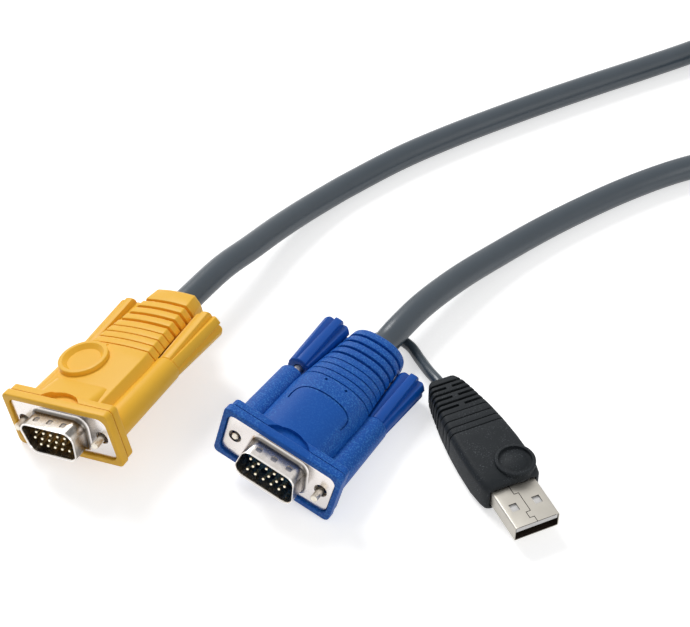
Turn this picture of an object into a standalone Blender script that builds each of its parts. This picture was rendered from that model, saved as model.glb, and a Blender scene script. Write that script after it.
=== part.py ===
"""A KVM cable: a blue and a yellow 15-way video plug on one long cord, and a USB plug on a short lead
that leaves the blue plug. The three plugs lie side by side on a table and the spare cord is coiled.

Each plug is modelled about its own face: X runs across the face, Y runs back into the cord and Z is up.
"""

import math

import bmesh
import bpy
from mathutils import Matrix, Vector

MM = 0.001
TOUCH_GAP = 0.3 * MM

# Face plate, shells and contacts of a 15-way high-density plug
SHELL_WIDTH = 17.8 * MM
SHELL_HEIGHT = 9.2 * MM
SCREW_BESIDE_SHELL = 3.6 * MM
SCREW_SPACING = SHELL_WIDTH + 2 * SCREW_BESIDE_SHELL
SCREW_HOLE_RADIUS = 1.55 * MM
PLATE_BESIDE_SCREW = 2.9 * MM
PLATE_ABOVE_SHELL = 1.65 * MM
PLATE_WIDTH = SCREW_SPACING + 2 * PLATE_BESIDE_SCREW
PLATE_HEIGHT = SHELL_HEIGHT + 2 * PLATE_ABOVE_SHELL
PLATE_THICKNESS = 0.6 * MM
PLATE_CORNER = 2.0 * MM
SHELL_CORNER = 2.6 * MM
SHELL_WALL = 0.45 * MM
SHELL_REACH = 5.9 * MM
SHELL_SIDE_SLOPE = math.radians(10)
DIMPLE_RADIUS = 0.8 * MM
DIMPLE_DEPTH = 0.2 * MM
DIMPLE_PITCH = 4.3 * MM
REAR_SHELL_DEPTH = 4.6 * MM
REAR_PLATE_THICKNESS = 0.5 * MM
INSULATOR_CLEARANCE = 0.2 * MM
INSULATOR_PROUD = 0.4 * MM
INSULATOR_DEPTH = 5.2 * MM
PIN_RADIUS = 0.4 * MM
PIN_CLEARANCE = 0.15 * MM
PIN_RECESS = 0.8 * MM
PIN_PITCH = 2.29 * MM
PIN_ROW_PITCH = 1.98 * MM
PINS_PER_ROW = 5
KEY_PIN = 9

# Hood, the moulded body of a video plug
LIP_BESIDE_PLATE = 1.6 * MM
LIP_ABOVE_PLATE = 1.85 * MM
LIP_WIDTH = PLATE_WIDTH + 2 * LIP_BESIDE_PLATE
LIP_HEIGHT = PLATE_HEIGHT + 2 * LIP_ABOVE_PLATE
LIP_CORNER = 1.5 * MM
LIP_PROUD = 0.6 * MM
LIP_DEPTH = 2.4 * MM
SLAB_INSET = 0.4 * MM
SLAB_DEPTH = 2.6 * MM
SCALLOP_WIDTH = 12.6 * MM
SCALLOP_SAG = 3.3 * MM
SCALLOP_DEPTH = 1.6 * MM
TUBE_RADIUS = 3.9 * MM
TUBE_REAR_RADIUS = 3.5 * MM
BLUE_TUBE_REAR = 26.2 * MM
YELLOW_TUBE_REAR = 27.9 * MM
GRIP_RELIEF = 0.35 * MM
FINE_COUNT = 4
FINE_PITCH = 2.55 * MM
FINE_FIRST = 26.6 * MM
FINE_WIDTH = 0.5 * MM
FINE_DEPTH = 0.4 * MM
DEEP_COUNT = 4
DEEP_PITCH = 3.1 * MM
DEEP_WIDTH = 1.1 * MM
DEEP_DEPTH = 1.1 * MM
RELIEF_END_ROUND = 0.7 * MM
INNER_MOULD_BESIDE_SHELL = 0.3 * MM
INNER_MOULD_BELOW_SHELL = 0.1 * MM
INNER_MOULD_WIDTH = SHELL_WIDTH + 2 * INNER_MOULD_BESIDE_SHELL
INNER_MOULD_HEIGHT = SHELL_HEIGHT - 2 * INNER_MOULD_BELOW_SHELL
INNER_MOULD_DEPTH = 15.0 * MM
INNER_MOULD_CORNER = 1.6 * MM

# Barrel of the blue hood: a rounded oval
BLUE_LENGTH = 49.8 * MM
BLUE_BESIDE_SHELL = 1.8 * MM
BLUE_ABOVE_SHELL = 2.9 * MM
BLUE_SIDE_TAPER = 2.8 * MM
BLUE_BARREL_WIDTH = SHELL_WIDTH + 2 * BLUE_BESIDE_SHELL
BLUE_BARREL_HEIGHT = SHELL_HEIGHT + 2 * BLUE_ABOVE_SHELL
BLUE_END_WIDTH = BLUE_BARREL_WIDTH - 2 * BLUE_SIDE_TAPER
BLUE_END_HEIGHT = 11.4 * MM
BLUE_OVAL_POWER = 2.4

# Barrel of the yellow hood: slightly crowned top and bottom with slanted flanks
YELLOW_LENGTH = 52.2 * MM
YELLOW_BESIDE_SHELL = 2.6 * MM
YELLOW_ABOVE_SHELL = 2.1 * MM
YELLOW_FLANK_SPREAD = 1.8 * MM
YELLOW_BARREL_WIDTH = SHELL_WIDTH + 2 * YELLOW_BESIDE_SHELL
YELLOW_BARREL_HEIGHT = SHELL_HEIGHT + 2 * YELLOW_ABOVE_SHELL
YELLOW_FLAT_WIDTH = YELLOW_BARREL_WIDTH - 2 * YELLOW_FLANK_SPREAD
YELLOW_CROWN = 0.9 * MM
YELLOW_END_CROWN = 0.4 * MM
YELLOW_FLANK_HEIGHT = 5.4 * MM
YELLOW_END_WIDTH = 14.4 * MM
YELLOW_END_HEIGHT = 11.0 * MM
YELLOW_END_FLAT_WIDTH = 7.6 * MM
YELLOW_END_FLANK_HEIGHT = 3.0 * MM
YELLOW_EDGE_ROUND = 0.7 * MM
TAPER_START = 23.0 * MM
BADGE_RADIUS = 6.6 * MM
BADGE_OFFSET_X = -5.3 * MM
BADGE_OFFSET_Y = 18.5 * MM
BADGE_PROUD = 0.8 * MM
BADGE_THICKNESS = 2.6 * MM
BADGE_RIM = 1.5 * MM
BADGE_DISH = 0.7 * MM

# Thumbscrews
PILOT_RADIUS = 0.95 * MM
PILOT_LENGTH = 3.2 * MM
THREAD_RADIUS = 1.4 * MM
THREAD_LENGTH = 8.0 * MM
SCREW_TIP_REACH = 3.4 * MM
SCREW_TIP_CHAMFER = 0.3 * MM
SHANK_RADIUS = 1.25 * MM
SHANK_CLEARANCE = 0.25 * MM
SHANK_IN_GRIP = 12.0 * MM
SCREW_TRAVEL = 3.4 * MM
BLUE_LEFT_DRAWN_BACK = 3.1 * MM
GRIP_LENGTH = 19.7 * MM
GRIP_FRONT_RADIUS = 3.3 * MM
GRIP_REAR_RADIUS = 4.25 * MM
GRIP_FLUTE_COUNT = 6
GRIP_FLUTE_DEPTH = 1.3 * MM
GRIP_FLUTE_START = 2.2 * MM
GRIP_EDGE = 0.6 * MM

# USB plug
USB_SHELL_WIDTH = 12.0 * MM
USB_SHELL_HEIGHT = 4.5 * MM
USB_SHELL_WALL = 0.3 * MM
USB_SHELL_CORNER = 0.5 * MM
USB_SHELL_REACH = 12.0 * MM
USB_SHELL_SEATED = 6.0 * MM
USB_WINDOW_WIDTH = 2.0 * MM
USB_WINDOW_LENGTH = 2.3 * MM
USB_WINDOW_SPACING = 6.2 * MM
USB_WINDOW_FROM_BOOT = 6.1 * MM
USB_TONGUE_THICKNESS = 1.5 * MM
USB_TONGUE_RECESS = 0.4 * MM
USB_TONGUE_CLEARANCE = 0.15 * MM
USB_CONTACT_WIDTH = 1.0 * MM
USB_CONTACT_THICKNESS = 0.25 * MM
USB_CONTACT_SINK = 0.15 * MM
USB_CONTACT_CLEARANCE = 0.1 * MM
USB_OUTER_CONTACT = 3.5 * MM
USB_INNER_CONTACT = 1.0 * MM
USB_OUTER_CONTACT_LENGTH = 7.4 * MM
USB_INNER_CONTACT_LENGTH = 6.4 * MM
BOOT_LENGTH = 39.0 * MM
BOOT_WIDTH = 16.4 * MM
BOOT_HEIGHT = 9.6 * MM
BOOT_FRONT_WIDTH = 14.8 * MM
BOOT_FRONT_HEIGHT = 8.2 * MM
BOOT_END_WIDTH = 6.2 * MM
BOOT_END_HEIGHT = 6.0 * MM
BOOT_TAPER_START = BOOT_LENGTH / 3
BOOT_OVAL_POWER = 3.2
BOOT_END_OVAL_POWER = 2.2
BOOT_FINE_COUNT = 5
BOOT_FINE_BEFORE_END = 19.4 * MM
BOOT_FINE_FIRST = BOOT_LENGTH - BOOT_FINE_BEFORE_END
BOOT_FINE_PITCH = 1.9 * MM
BOOT_FINE_DEPTH = 0.3 * MM
BOOT_FINE_WIDTH = 0.5 * MM
BOOT_DEEP_COUNT = 3
BOOT_DEEP_BEFORE_END = 9.7 * MM
BOOT_DEEP_FIRST = BOOT_LENGTH - BOOT_DEEP_BEFORE_END
BOOT_DEEP_PITCH = 3.5 * MM
BOOT_DEEP_WIDTH = 0.9 * MM
BOOT_DEEP_DEPTH = 0.9 * MM
BOOT_SLOT_BRIDGE = 1.1 * MM
BOOT_SLOT_WIDTH = 0.8 * MM
BOOT_SLOT_DEPTH = 0.8 * MM
BOOT_BADGE_RADIUS = 5.1 * MM
BOOT_BADGE_X = 2.9 * MM
BOOT_BADGE_Y = 4.9 * MM
BOOT_BADGE_PROUD = 0.7 * MM
BOOT_BADGE_RIM = 0.9 * MM
BOOT_BADGE_THICKNESS = 2.2 * MM
BOOT_BADGE_MOAT = 0.7 * MM
USB_MOULD_LENGTH = 10.0 * MM
USB_MOULD_WIDTH = 10.0 * MM
USB_MOULD_HEIGHT = 5.0 * MM
USB_MOULD_CORNER = 0.8 * MM

# Where each plug lies on the table: place of its face, then yaw, pitch and roll in degrees
BLUE_PLACE = (Vector((1.0, -21.3)) * MM, (-30.3, 5.4, -12.4))
YELLOW_PLACE = (Vector((-51.9, -10.5)) * MM, (-30.0, 1.6, 14.9))
USB_PLACE = (Vector((58.0, -24.6)) * MM, (24.4, 0.0, 0.0))

# Cords, with the route's points chosen by hand on the table, in millimetres
CORD_DIAMETER = 7.2 * MM
LEAD_DIAMETER = 3.0 * MM
LEAD_EXIT_X = -4.6 * MM
LEAD_EXIT_Z = -3.3 * MM
STRAIGHT_EXIT = 4.0 * MM
LEAD_STRAIGHT = 2.0 * MM
BLUE_ROUTE = (
    (32.0, 30.4, 6.95), (38.8, 39.4, 6.9), (48.8, 51.0, 5.6), (60.5, 62.4, 4.2), (72.6, 72.6, 3.7),
    (84.8, 81.5, 3.6), (97.2, 89.6, 3.6), (109.7, 96.6, 3.6), (120.3, 101.3, 3.6), (131.7, 104.9, 3.6),
    (142.2, 106.1, 3.6), (149.2, 105.5, 3.6),
)
YELLOW_ROUTE = (
    (-16.1, 50.3, 9.7), (-8.9, 60.1, 8.2), (-2.4, 69.5, 6.5), (4.5, 78.4, 5.0), (11.5, 86.2, 4.0),
    (18.8, 93.2, 3.6), (33.6, 105.2, 3.6), (48.9, 115.5, 3.6), (64.6, 124.9, 3.6), (80.6, 133.9, 3.6),
    (96.7, 142.5, 3.6), (113.1, 151.0, 3.6), (129.7, 159.6, 4.0), (144.5, 168.1, 5.2),
)
LEAD_ROUTE = (
    (24.3, 28.6, 3.5), (27.7, 31.3, 2.25), (31.6, 31.1, 1.6), (34.8, 28.1, 1.55), (37.1, 22.9, 2.0),
    (39.2, 16.9, 3.7),
)
ROUTE_STEPS = 12
CORD_POINT_SPACING = 2.0 * CORD_DIAMETER
LEAD_POINT_SPACING = 1.2 * LEAD_DIAMETER
COIL_CENTRE = Vector((191.5, 139.5, 0.0)) * MM
COIL_MID_RADIUS = 40.0 * MM
COIL_TURNS_ACROSS = 3
COIL_LAYERS = 2
COIL_WIDTH = COIL_TURNS_ACROSS * CORD_DIAMETER
COIL_HEIGHT = COIL_LAYERS * CORD_DIAMETER
TIE_ANGLE = math.radians(15)
TIE_WIDTH = 9.0 * MM
TIE_THICKNESS = 0.9 * MM
TIE_SIDE_CLEARANCE = 0.6 * MM

ROUND_STEPS = 16
OVAL_STEPS = 20


def clear_scene():
    for old in list(bpy.data.objects):
        bpy.data.objects.remove(old, do_unlink=True)


def new_collection(name):
    collection = bpy.data.collections.new(name)
    bpy.context.scene.collection.children.link(collection)
    return collection


def new_material(name, colour, roughness, metallic=0.0):
    material = bpy.data.materials.new(name)
    material.use_nodes = True
    shader = material.node_tree.nodes["Principled BSDF"]
    shader.inputs["Base Color"].default_value = (*colour, 1.0)
    shader.inputs["Roughness"].default_value = roughness
    shader.inputs["Metallic"].default_value = metallic
    return material


clear_scene()
PARTS = new_collection("kvm_cable")
BLUE_PLASTIC = new_material("blue_plastic", (0.010, 0.085, 0.380), 0.45)
YELLOW_PLASTIC = new_material("yellow_plastic", (0.900, 0.420, 0.045), 0.42)
BLACK_RUBBER = new_material("black_rubber", (0.020, 0.023, 0.028), 0.60)
GREY_CORD = new_material("grey_cord", (0.065, 0.085, 0.105), 0.50)
NICKEL = new_material("nickel", (0.720, 0.690, 0.640), 0.25, 1.0)
STEEL = new_material("steel", (0.600, 0.580, 0.550), 0.30, 1.0)
GOLD = new_material("gold_contact", (0.850, 0.650, 0.300), 0.25, 1.0)
NAVY_INSULATOR = new_material("navy_insulator", (0.004, 0.010, 0.022), 0.50)
BROWN_INSULATOR = new_material("brown_insulator", (0.050, 0.028, 0.008), 0.50)
WHITE_PLASTIC = new_material("white_plastic", (0.800, 0.780, 0.740), 0.50)
NATURAL_MOULD = new_material("natural_mould", (0.600, 0.600, 0.560), 0.55)
TIE_BLACK = new_material("tie_black", (0.015, 0.015, 0.016), 0.60)


def object_from_bmesh(name, shape):
    mesh = bpy.data.meshes.new(name)
    bmesh.ops.recalc_face_normals(shape, faces=shape.faces)
    shape.to_mesh(mesh)
    shape.free()
    made = bpy.data.objects.new(name, mesh)
    PARTS.objects.link(made)
    return made


def bake_modifiers(made):
    """Replace an object's mesh with its evaluated one."""
    bpy.context.view_layer.update()
    depsgraph = bpy.context.evaluated_depsgraph_get()
    mesh = bpy.data.meshes.new_from_object(made.evaluated_get(depsgraph))
    made.modifiers.clear()
    made.data = mesh


def combine(made, other, operation):
    """Join another solid to an object, or cut it away, and remove the other solid."""
    step = made.modifiers.new("Combine", "BOOLEAN")
    step.operation = operation
    step.solver = "EXACT"
    step.object = other
    bake_modifiers(made)
    bpy.data.objects.remove(other, do_unlink=True)


def join(made, *others):
    for other in others:
        combine(made, other, "UNION")


def cut(made, *others):
    for other in others:
        combine(made, other, "DIFFERENCE")


def loft(name, rings):
    """Skin a list of closed rings with the same number of points, and cap both ends."""
    shape = bmesh.new()
    rows = [[shape.verts.new(point) for point in ring] for ring in rings]
    for row, following in zip(rows, rows[1:]):
        for i in range(len(row)):
            j = (i + 1) % len(row)
            shape.faces.new((row[i], row[j], following[j], following[i]))
    shape.faces.new(rows[0])
    shape.faces.new(list(reversed(rows[-1])))
    return object_from_bmesh(name, shape)


def prism(name, outline, front, back):
    """Run an outline of (x, z) points along Y."""
    return loft(name, [[(x, y, z) for x, z in outline] for y in (front, back)])


def arc_outline(corners, radius, steps=4):
    """Round the corners of a convex outline, given anticlockwise, each with the same radius."""
    points = []
    count = len(corners)
    for i, corner in enumerate(corners):
        corner = Vector(corner)
        before = (Vector(corners[i - 1]) - corner).normalized()
        after = (Vector(corners[(i + 1) % count]) - corner).normalized()
        half = before.angle(after) / 2
        centre = corner + (before + after).normalized() * (radius / math.sin(half))
        start = corner + before * (radius / math.tan(half)) - centre
        turn = (math.pi - 2 * half) / steps
        for k in range(steps + 1):
            points.append(tuple(centre + Matrix.Rotation(k * turn, 2) @ start))
    return points


def box_outline(width, height, radius, steps=4):
    x = width / 2
    z = height / 2
    return arc_outline(((-x, -z), (x, -z), (x, z), (-x, z)), radius, steps)


def shell_outline(growth, wide_side_up):
    """The D of a shell, grown or shrunk all round; the sides slope towards the narrow side."""
    wide = SHELL_WIDTH / 2 + growth
    z = SHELL_HEIGHT / 2 + growth
    narrow = wide - 2 * z * math.tan(SHELL_SIDE_SLOPE)
    top, bottom = (wide, narrow) if wide_side_up else (narrow, wide)
    return arc_outline(((-bottom, -z), (bottom, -z), (top, z), (-top, z)), SHELL_CORNER + growth)


def oval_outline(width, height, power, steps=OVAL_STEPS):
    """A superellipse: power 2 is an ellipse, and more is squarer."""
    points = []
    for i in range(steps):
        angle = 2 * math.pi * i / steps
        c = math.cos(angle)
        s = math.sin(angle)
        x = math.copysign(abs(c) ** (2 / power), c) * width / 2
        z = math.copysign(abs(s) ** (2 / power), s) * height / 2
        points.append((x, z))
    return points


def flanked_outline(width, height, flat_width, flank_height, crown, radius):
    """Crowned top and bottom, short upright sides and slanted flanks between them."""
    x = width / 2
    z = height / 2
    f = flat_width / 2
    h = flank_height / 2
    edge = z - crown
    right = ((x, -h), (x, h), (f, edge), (0.0, z))
    left = ((-f, edge), (-x, h), (-x, -h), (-f, -edge), (0.0, -z), (f, -edge))
    corners = right + left
    return arc_outline(corners, radius, 2)


def shrink(outline, depth):
    """Bring an outline in by a depth, in proportion to its own half height."""
    top = max(z for x, z in outline)
    side = max(x for x, z in outline)
    return [(x * (side - depth) / side, z * (top - depth) / top) for x, z in outline]


def cylinder(name, axis, radius, start, end, centre=(0, 0), rear_radius=None, steps=ROUND_STEPS):
    """A round bar along Y, with centre (x, z), or along Z, with centre (x, y)."""
    shape = bmesh.new()
    bmesh.ops.create_cone(
        shape, cap_ends=True, segments=steps, radius1=radius,
        radius2=radius if rear_radius is None else rear_radius, depth=end - start,
    )
    middle = (start + end) / 2
    if axis == "Y":
        place = Matrix.Translation((centre[0], middle, centre[1])) @ Matrix.Rotation(-math.pi / 2, 4, "X")
    else:
        place = Matrix.Translation((centre[0], centre[1], middle))
    shape.transform(place)
    return object_from_bmesh(name, shape)


def block(name, low, high):
    shape = bmesh.new()
    bmesh.ops.create_cube(shape, size=1.0)
    low = Vector(low)
    high = Vector(high)
    shape.transform(Matrix.Translation((low + high) / 2) @ Matrix.Diagonal((*(high - low), 1.0)))
    return object_from_bmesh(name, shape)


def turned(name, profile, axis="Y", steps=ROUND_STEPS, closed=False):
    """Turn a profile of (radius, distance along the axis) points."""
    mesh = bpy.data.meshes.new(name)
    if axis == "Y":
        points = [(r, along, 0.0) for r, along in profile]
    else:
        points = [(r, 0.0, along) for r, along in profile]
    edges = [(i, i + 1) for i in range(len(points) - 1)]
    if closed:
        edges.append((len(points) - 1, 0))
    mesh.from_pydata(points, edges, [])
    made = bpy.data.objects.new(name, mesh)
    PARTS.objects.link(made)
    step = made.modifiers.new("Turn", "SCREW")
    step.axis = axis
    step.steps = steps
    step.render_steps = steps
    step.use_merge_vertices = True
    step.merge_threshold = 0.001 * MM
    bake_modifiers(made)
    shape = bmesh.new()
    shape.from_mesh(made.data)
    bmesh.ops.recalc_face_normals(shape, faces=shape.faces)
    shape.to_mesh(made.data)
    shape.free()
    return made


def smooth_shading(made, angle=35):
    for face in made.data.polygons:
        face.use_smooth = True
    made.data.set_sharp_from_angle(angle=math.radians(angle))


def finish(made, material, parent=None):
    """Give a finished solid its material and shading, and hang it on its plug."""
    made.data.materials.clear()
    made.data.materials.append(material)
    smooth_shading(made)
    if parent is not None:
        made.parent = parent
    return made


def plug_frame(name, place):
    """An empty at a plug's face, turned as the plug lies, at the height of the table for now."""
    position, (yaw, pitch, roll) = place
    turn = Matrix.Rotation(math.radians(yaw), 4, "Z")
    turn = turn @ Matrix.Rotation(-math.radians(pitch), 4, "X")
    turn = turn @ Matrix.Rotation(-math.radians(roll), 4, "Y")
    frame = bpy.data.objects.new(name, None)
    frame.matrix_world = Matrix.Translation((*position, 0.0)) @ turn
    PARTS.objects.link(frame)
    bpy.context.view_layer.update()
    return frame


def set_down(frame):
    """Raise a whole plug until its lowest point lies on the table."""
    bpy.context.view_layer.update()
    low = min((piece.matrix_world @ point.co).z for piece in frame.children for point in piece.data.vertices)
    frame.location.z -= low
    bpy.context.view_layer.update()
    return frame


# Depths behind the face plate's front
REAR_PLATE_FRONT = PLATE_THICKNESS + TOUCH_GAP
REAR_PLATE_BACK = REAR_PLATE_FRONT + REAR_PLATE_THICKNESS
RECESS_BACK = REAR_PLATE_BACK + TOUCH_GAP
REAR_SHELL_BACK = REAR_PLATE_BACK + REAR_SHELL_DEPTH
INNER_MOULD_FRONT = REAR_SHELL_BACK + TOUCH_GAP
INNER_MOULD_BACK = INNER_MOULD_FRONT + INNER_MOULD_DEPTH
LIP_BACK = LIP_DEPTH - LIP_PROUD
SLAB_BACK = LIP_BACK + SLAB_DEPTH


def groove_profile(first, pitch, count, width, depth, flat):
    """(distance, depth) pairs of a row of grooves, V-shaped or with a flat floor."""
    pairs = []
    for i in range(count):
        middle = first + i * pitch
        pairs.append((middle - width / 2, 0.0))
        if flat:
            pairs.append((middle - width / 2 + depth * 0.1, depth))
            pairs.append((middle + width / 2 - depth * 0.1, depth))
        else:
            pairs.append((middle, depth))
        pairs.append((middle + width / 2, 0.0))
    return pairs


def blue_section(along):
    """The blue barrel's outline at a distance behind the face."""
    t = max(0.0, (along - TAPER_START) / (BLUE_LENGTH - TAPER_START))
    width = BLUE_BARREL_WIDTH + (BLUE_END_WIDTH - BLUE_BARREL_WIDTH) * t
    height = BLUE_BARREL_HEIGHT + (BLUE_END_HEIGHT - BLUE_BARREL_HEIGHT) * t
    return oval_outline(width, height, BLUE_OVAL_POWER)


def yellow_section(along):
    """The yellow barrel's outline at a distance behind the face."""
    t = max(0.0, (along - TAPER_START) / (YELLOW_LENGTH - TAPER_START))
    width = YELLOW_BARREL_WIDTH + (YELLOW_END_WIDTH - YELLOW_BARREL_WIDTH) * t
    height = YELLOW_BARREL_HEIGHT + (YELLOW_END_HEIGHT - YELLOW_BARREL_HEIGHT) * t
    flat = YELLOW_FLAT_WIDTH + (YELLOW_END_FLAT_WIDTH - YELLOW_FLAT_WIDTH) * t
    flank = YELLOW_FLANK_HEIGHT + (YELLOW_END_FLANK_HEIGHT - YELLOW_FLANK_HEIGHT) * t
    crown = YELLOW_CROWN + (YELLOW_END_CROWN - YELLOW_CROWN) * t
    return flanked_outline(width, height, flat, flank, crown, YELLOW_EDGE_ROUND)


def make_barrel(section, length):
    """The ribbed barrel that narrows into the strain relief."""
    deep_first = FINE_FIRST + FINE_COUNT * FINE_PITCH + (DEEP_PITCH - FINE_PITCH) / 2
    stations = [(SLAB_BACK - SLAB_DEPTH / 2, 0.0), (TAPER_START, 0.0)]
    stations += groove_profile(FINE_FIRST, FINE_PITCH, FINE_COUNT, FINE_WIDTH, FINE_DEPTH, False)
    stations += groove_profile(deep_first, DEEP_PITCH, DEEP_COUNT, DEEP_WIDTH, DEEP_DEPTH, True)
    stations += [(length - RELIEF_END_ROUND, 0.0), (length, RELIEF_END_ROUND)]
    rings = []
    for along, depth in stations:
        rings.append([(x, along, z) for x, z in shrink(section(along), depth)])
    return loft("barrel", rings)


def make_grip_relief(side, tube_rear, length):
    """The room that a flaring grip needs beside the barrel, pushed in or drawn back."""
    front_radius = GRIP_FRONT_RADIUS + GRIP_RELIEF
    rear_radius = GRIP_REAR_RADIUS + GRIP_RELIEF
    profile = ((0.0, tube_rear), (front_radius, tube_rear), (rear_radius, tube_rear + GRIP_LENGTH),
               (rear_radius, 2 * length), (0.0, 2 * length))
    relief = turned("relief", profile)
    relief.location = (side * SCREW_SPACING / 2, 0.0, 0.0)
    return relief


def make_hood(name, section, length, tube_rear, frame, material, badge):
    """One moulding: lip and slab around the face plate, barrel, strain relief and the two screw tubes."""
    hood = make_barrel(section, length)
    slab_width = LIP_WIDTH - 2 * SLAB_INSET
    slab_height = LIP_HEIGHT - 2 * SLAB_INSET
    join(hood, prism("slab", box_outline(slab_width, slab_height, LIP_CORNER), LIP_BACK / 2, SLAB_BACK))
    for side in (-1, 1):
        bore_centre = (side * SCREW_SPACING / 2, 0.0)
        tube_end = tube_rear + TOUCH_GAP
        join(hood, cylinder("tube", "Y", TUBE_RADIUS, LIP_BACK, tube_end, bore_centre, TUBE_REAR_RADIUS))
        cut(hood, make_grip_relief(side, tube_rear, length))
    scallop_radius = (SCALLOP_WIDTH ** 2 / 4 + SCALLOP_SAG ** 2) / (2 * SCALLOP_SAG)
    scallop_y = LIP_BACK + SCALLOP_SAG - scallop_radius
    scallop_floor = slab_height / 2 - SCALLOP_DEPTH
    for up in (-1, 1):
        span = sorted((up * scallop_floor, up * LIP_HEIGHT))
        cut(hood, cylinder("scallop", "Z", scallop_radius, *span, (0.0, scallop_y), steps=2 * ROUND_STEPS))
    if badge:
        top = YELLOW_BARREL_HEIGHT / 2 + BADGE_PROUD
        centre = (BADGE_OFFSET_X, BADGE_OFFSET_Y)
        join(hood, cylinder("badge", "Z", BADGE_RADIUS, top - BADGE_THICKNESS, top, centre, steps=OVAL_STEPS))
        dish = cylinder("dish", "Z", BADGE_RADIUS - BADGE_RIM - BADGE_DISH, top - BADGE_DISH,
                        top + BADGE_DISH, centre, BADGE_RADIUS - BADGE_RIM + BADGE_DISH, OVAL_STEPS)
        cut(hood, dish)
    join(hood, prism("lip", box_outline(LIP_WIDTH, LIP_HEIGHT, LIP_CORNER), -LIP_PROUD, LIP_BACK))
    recess = box_outline(PLATE_WIDTH + 2 * TOUCH_GAP, PLATE_HEIGHT + 2 * TOUCH_GAP, PLATE_CORNER + TOUCH_GAP)
    cut(hood, prism("recess", recess, -2 * LIP_PROUD, RECESS_BACK))
    pocket_width = max(SHELL_WIDTH, INNER_MOULD_WIDTH) + 2 * TOUCH_GAP
    pocket_height = max(SHELL_HEIGHT, INNER_MOULD_HEIGHT) + 2 * TOUCH_GAP
    pocket = box_outline(pocket_width, pocket_height, INNER_MOULD_CORNER)
    cut(hood, prism("pocket", pocket, LIP_PROUD, INNER_MOULD_BACK + TOUCH_GAP))
    for side in (-1, 1):
        bore_centre = (side * SCREW_SPACING / 2, 0.0)
        bore = THREAD_RADIUS + SHANK_CLEARANCE
        cut(hood, cylinder("bore", "Y", bore, 0.0, tube_rear + LIP_DEPTH, bore_centre))
    hood.name = name
    return finish(hood, material, frame)


def cut_screw_holes(made, front, back):
    for side in (-1, 1):
        cut(made, cylinder("hole", "Y", SCREW_HOLE_RADIUS, front, back, (side * SCREW_SPACING / 2, 0.0)))


def make_front_shell(name, frame, wide_side_up):
    """Face plate and D shell, stamped from one sheet, with the dimples on its upper side."""
    shell = prism(name, box_outline(PLATE_WIDTH, PLATE_HEIGHT, PLATE_CORNER), 0.0, PLATE_THICKNESS)
    join(shell, prism("rim", shell_outline(0.0, wide_side_up), -SHELL_REACH, PLATE_THICKNESS / 2))
    opening = shell_outline(-SHELL_WALL, wide_side_up)
    cut(shell, prism("opening", opening, -2 * SHELL_REACH, 2 * PLATE_THICKNESS))
    cut_screw_holes(shell, -PLATE_THICKNESS, 2 * PLATE_THICKNESS)
    top = SHELL_HEIGHT / 2
    for i in (-1, 0, 1):
        centre = (i * DIMPLE_PITCH, -SHELL_REACH / 2)
        cut(shell, cylinder("dimple", "Z", DIMPLE_RADIUS, top - DIMPLE_DEPTH, 2 * top, centre, steps=12))
    return finish(shell, NICKEL, frame)


def make_rear_shell(name, frame, wide_side_up):
    """The rear half of the metal shell, clamped behind the face plate, around the insulator."""
    outline = box_outline(PLATE_WIDTH, PLATE_HEIGHT, PLATE_CORNER)
    shell = prism(name, outline, REAR_PLATE_FRONT, REAR_PLATE_BACK)
    can_front = (REAR_PLATE_FRONT + REAR_PLATE_BACK) / 2
    join(shell, prism("can", shell_outline(0.0, wide_side_up), can_front, REAR_SHELL_BACK))
    opening = shell_outline(-SHELL_WALL, wide_side_up)
    cut(shell, prism("opening", opening, 0.0, REAR_SHELL_BACK + PLATE_THICKNESS))
    cut_screw_holes(shell, 0.0, REAR_SHELL_BACK)
    return finish(shell, STEEL, frame)


def pin_places(wide_side_up):
    """Number and (x, z) of each of the 15 contacts, row by row from the wide side."""
    up = 1 if wide_side_up else -1
    places = []
    for row in range(3):
        z = up * (1 - row) * PIN_ROW_PITCH
        stagger = (0.25 if row == 1 else -0.25) * PIN_PITCH * -up
        for i in range(PINS_PER_ROW):
            x = up * (i - (PINS_PER_ROW - 1) / 2) * PIN_PITCH + stagger
            places.append((row * PINS_PER_ROW + i + 1, x, z))
    return places


def make_insulator(name, frame, wide_side_up, material):
    outline = shell_outline(-SHELL_WALL - INSULATOR_CLEARANCE, wide_side_up)
    body = prism(name, outline, -INSULATOR_PROUD, INSULATOR_DEPTH)
    for number, x, z in pin_places(wide_side_up):
        hole = PIN_RADIUS + PIN_CLEARANCE
        cut(body, cylinder("hole", "Y", hole, -2 * INSULATOR_PROUD, 2 * INSULATOR_DEPTH, (x, z), steps=8))
    return finish(body, material, frame)


def make_pins(colour, frame, wide_side_up, missing):
    tip = PIN_RECESS - SHELL_REACH
    back = INSULATOR_DEPTH + TOUCH_GAP
    profile = ((0.0, tip), (PIN_RADIUS * 0.6, tip), (PIN_RADIUS, tip + PIN_RADIUS), (PIN_RADIUS, back),
               (0.0, back))
    for number, x, z in pin_places(wide_side_up):
        if number == missing:
            continue
        pin = turned(f"{colour}_pin_{number:02d}", profile, steps=8)
        pin.location = (x, 0.0, z)
        finish(pin, GOLD, frame)


def make_inner_mould(name, frame):
    """The block moulded over the solder joints behind the insulator."""
    outline = box_outline(INNER_MOULD_WIDTH, INNER_MOULD_HEIGHT, INNER_MOULD_CORNER)
    return finish(prism(name, outline, INNER_MOULD_FRONT, INNER_MOULD_BACK), NATURAL_MOULD, frame)


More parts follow.
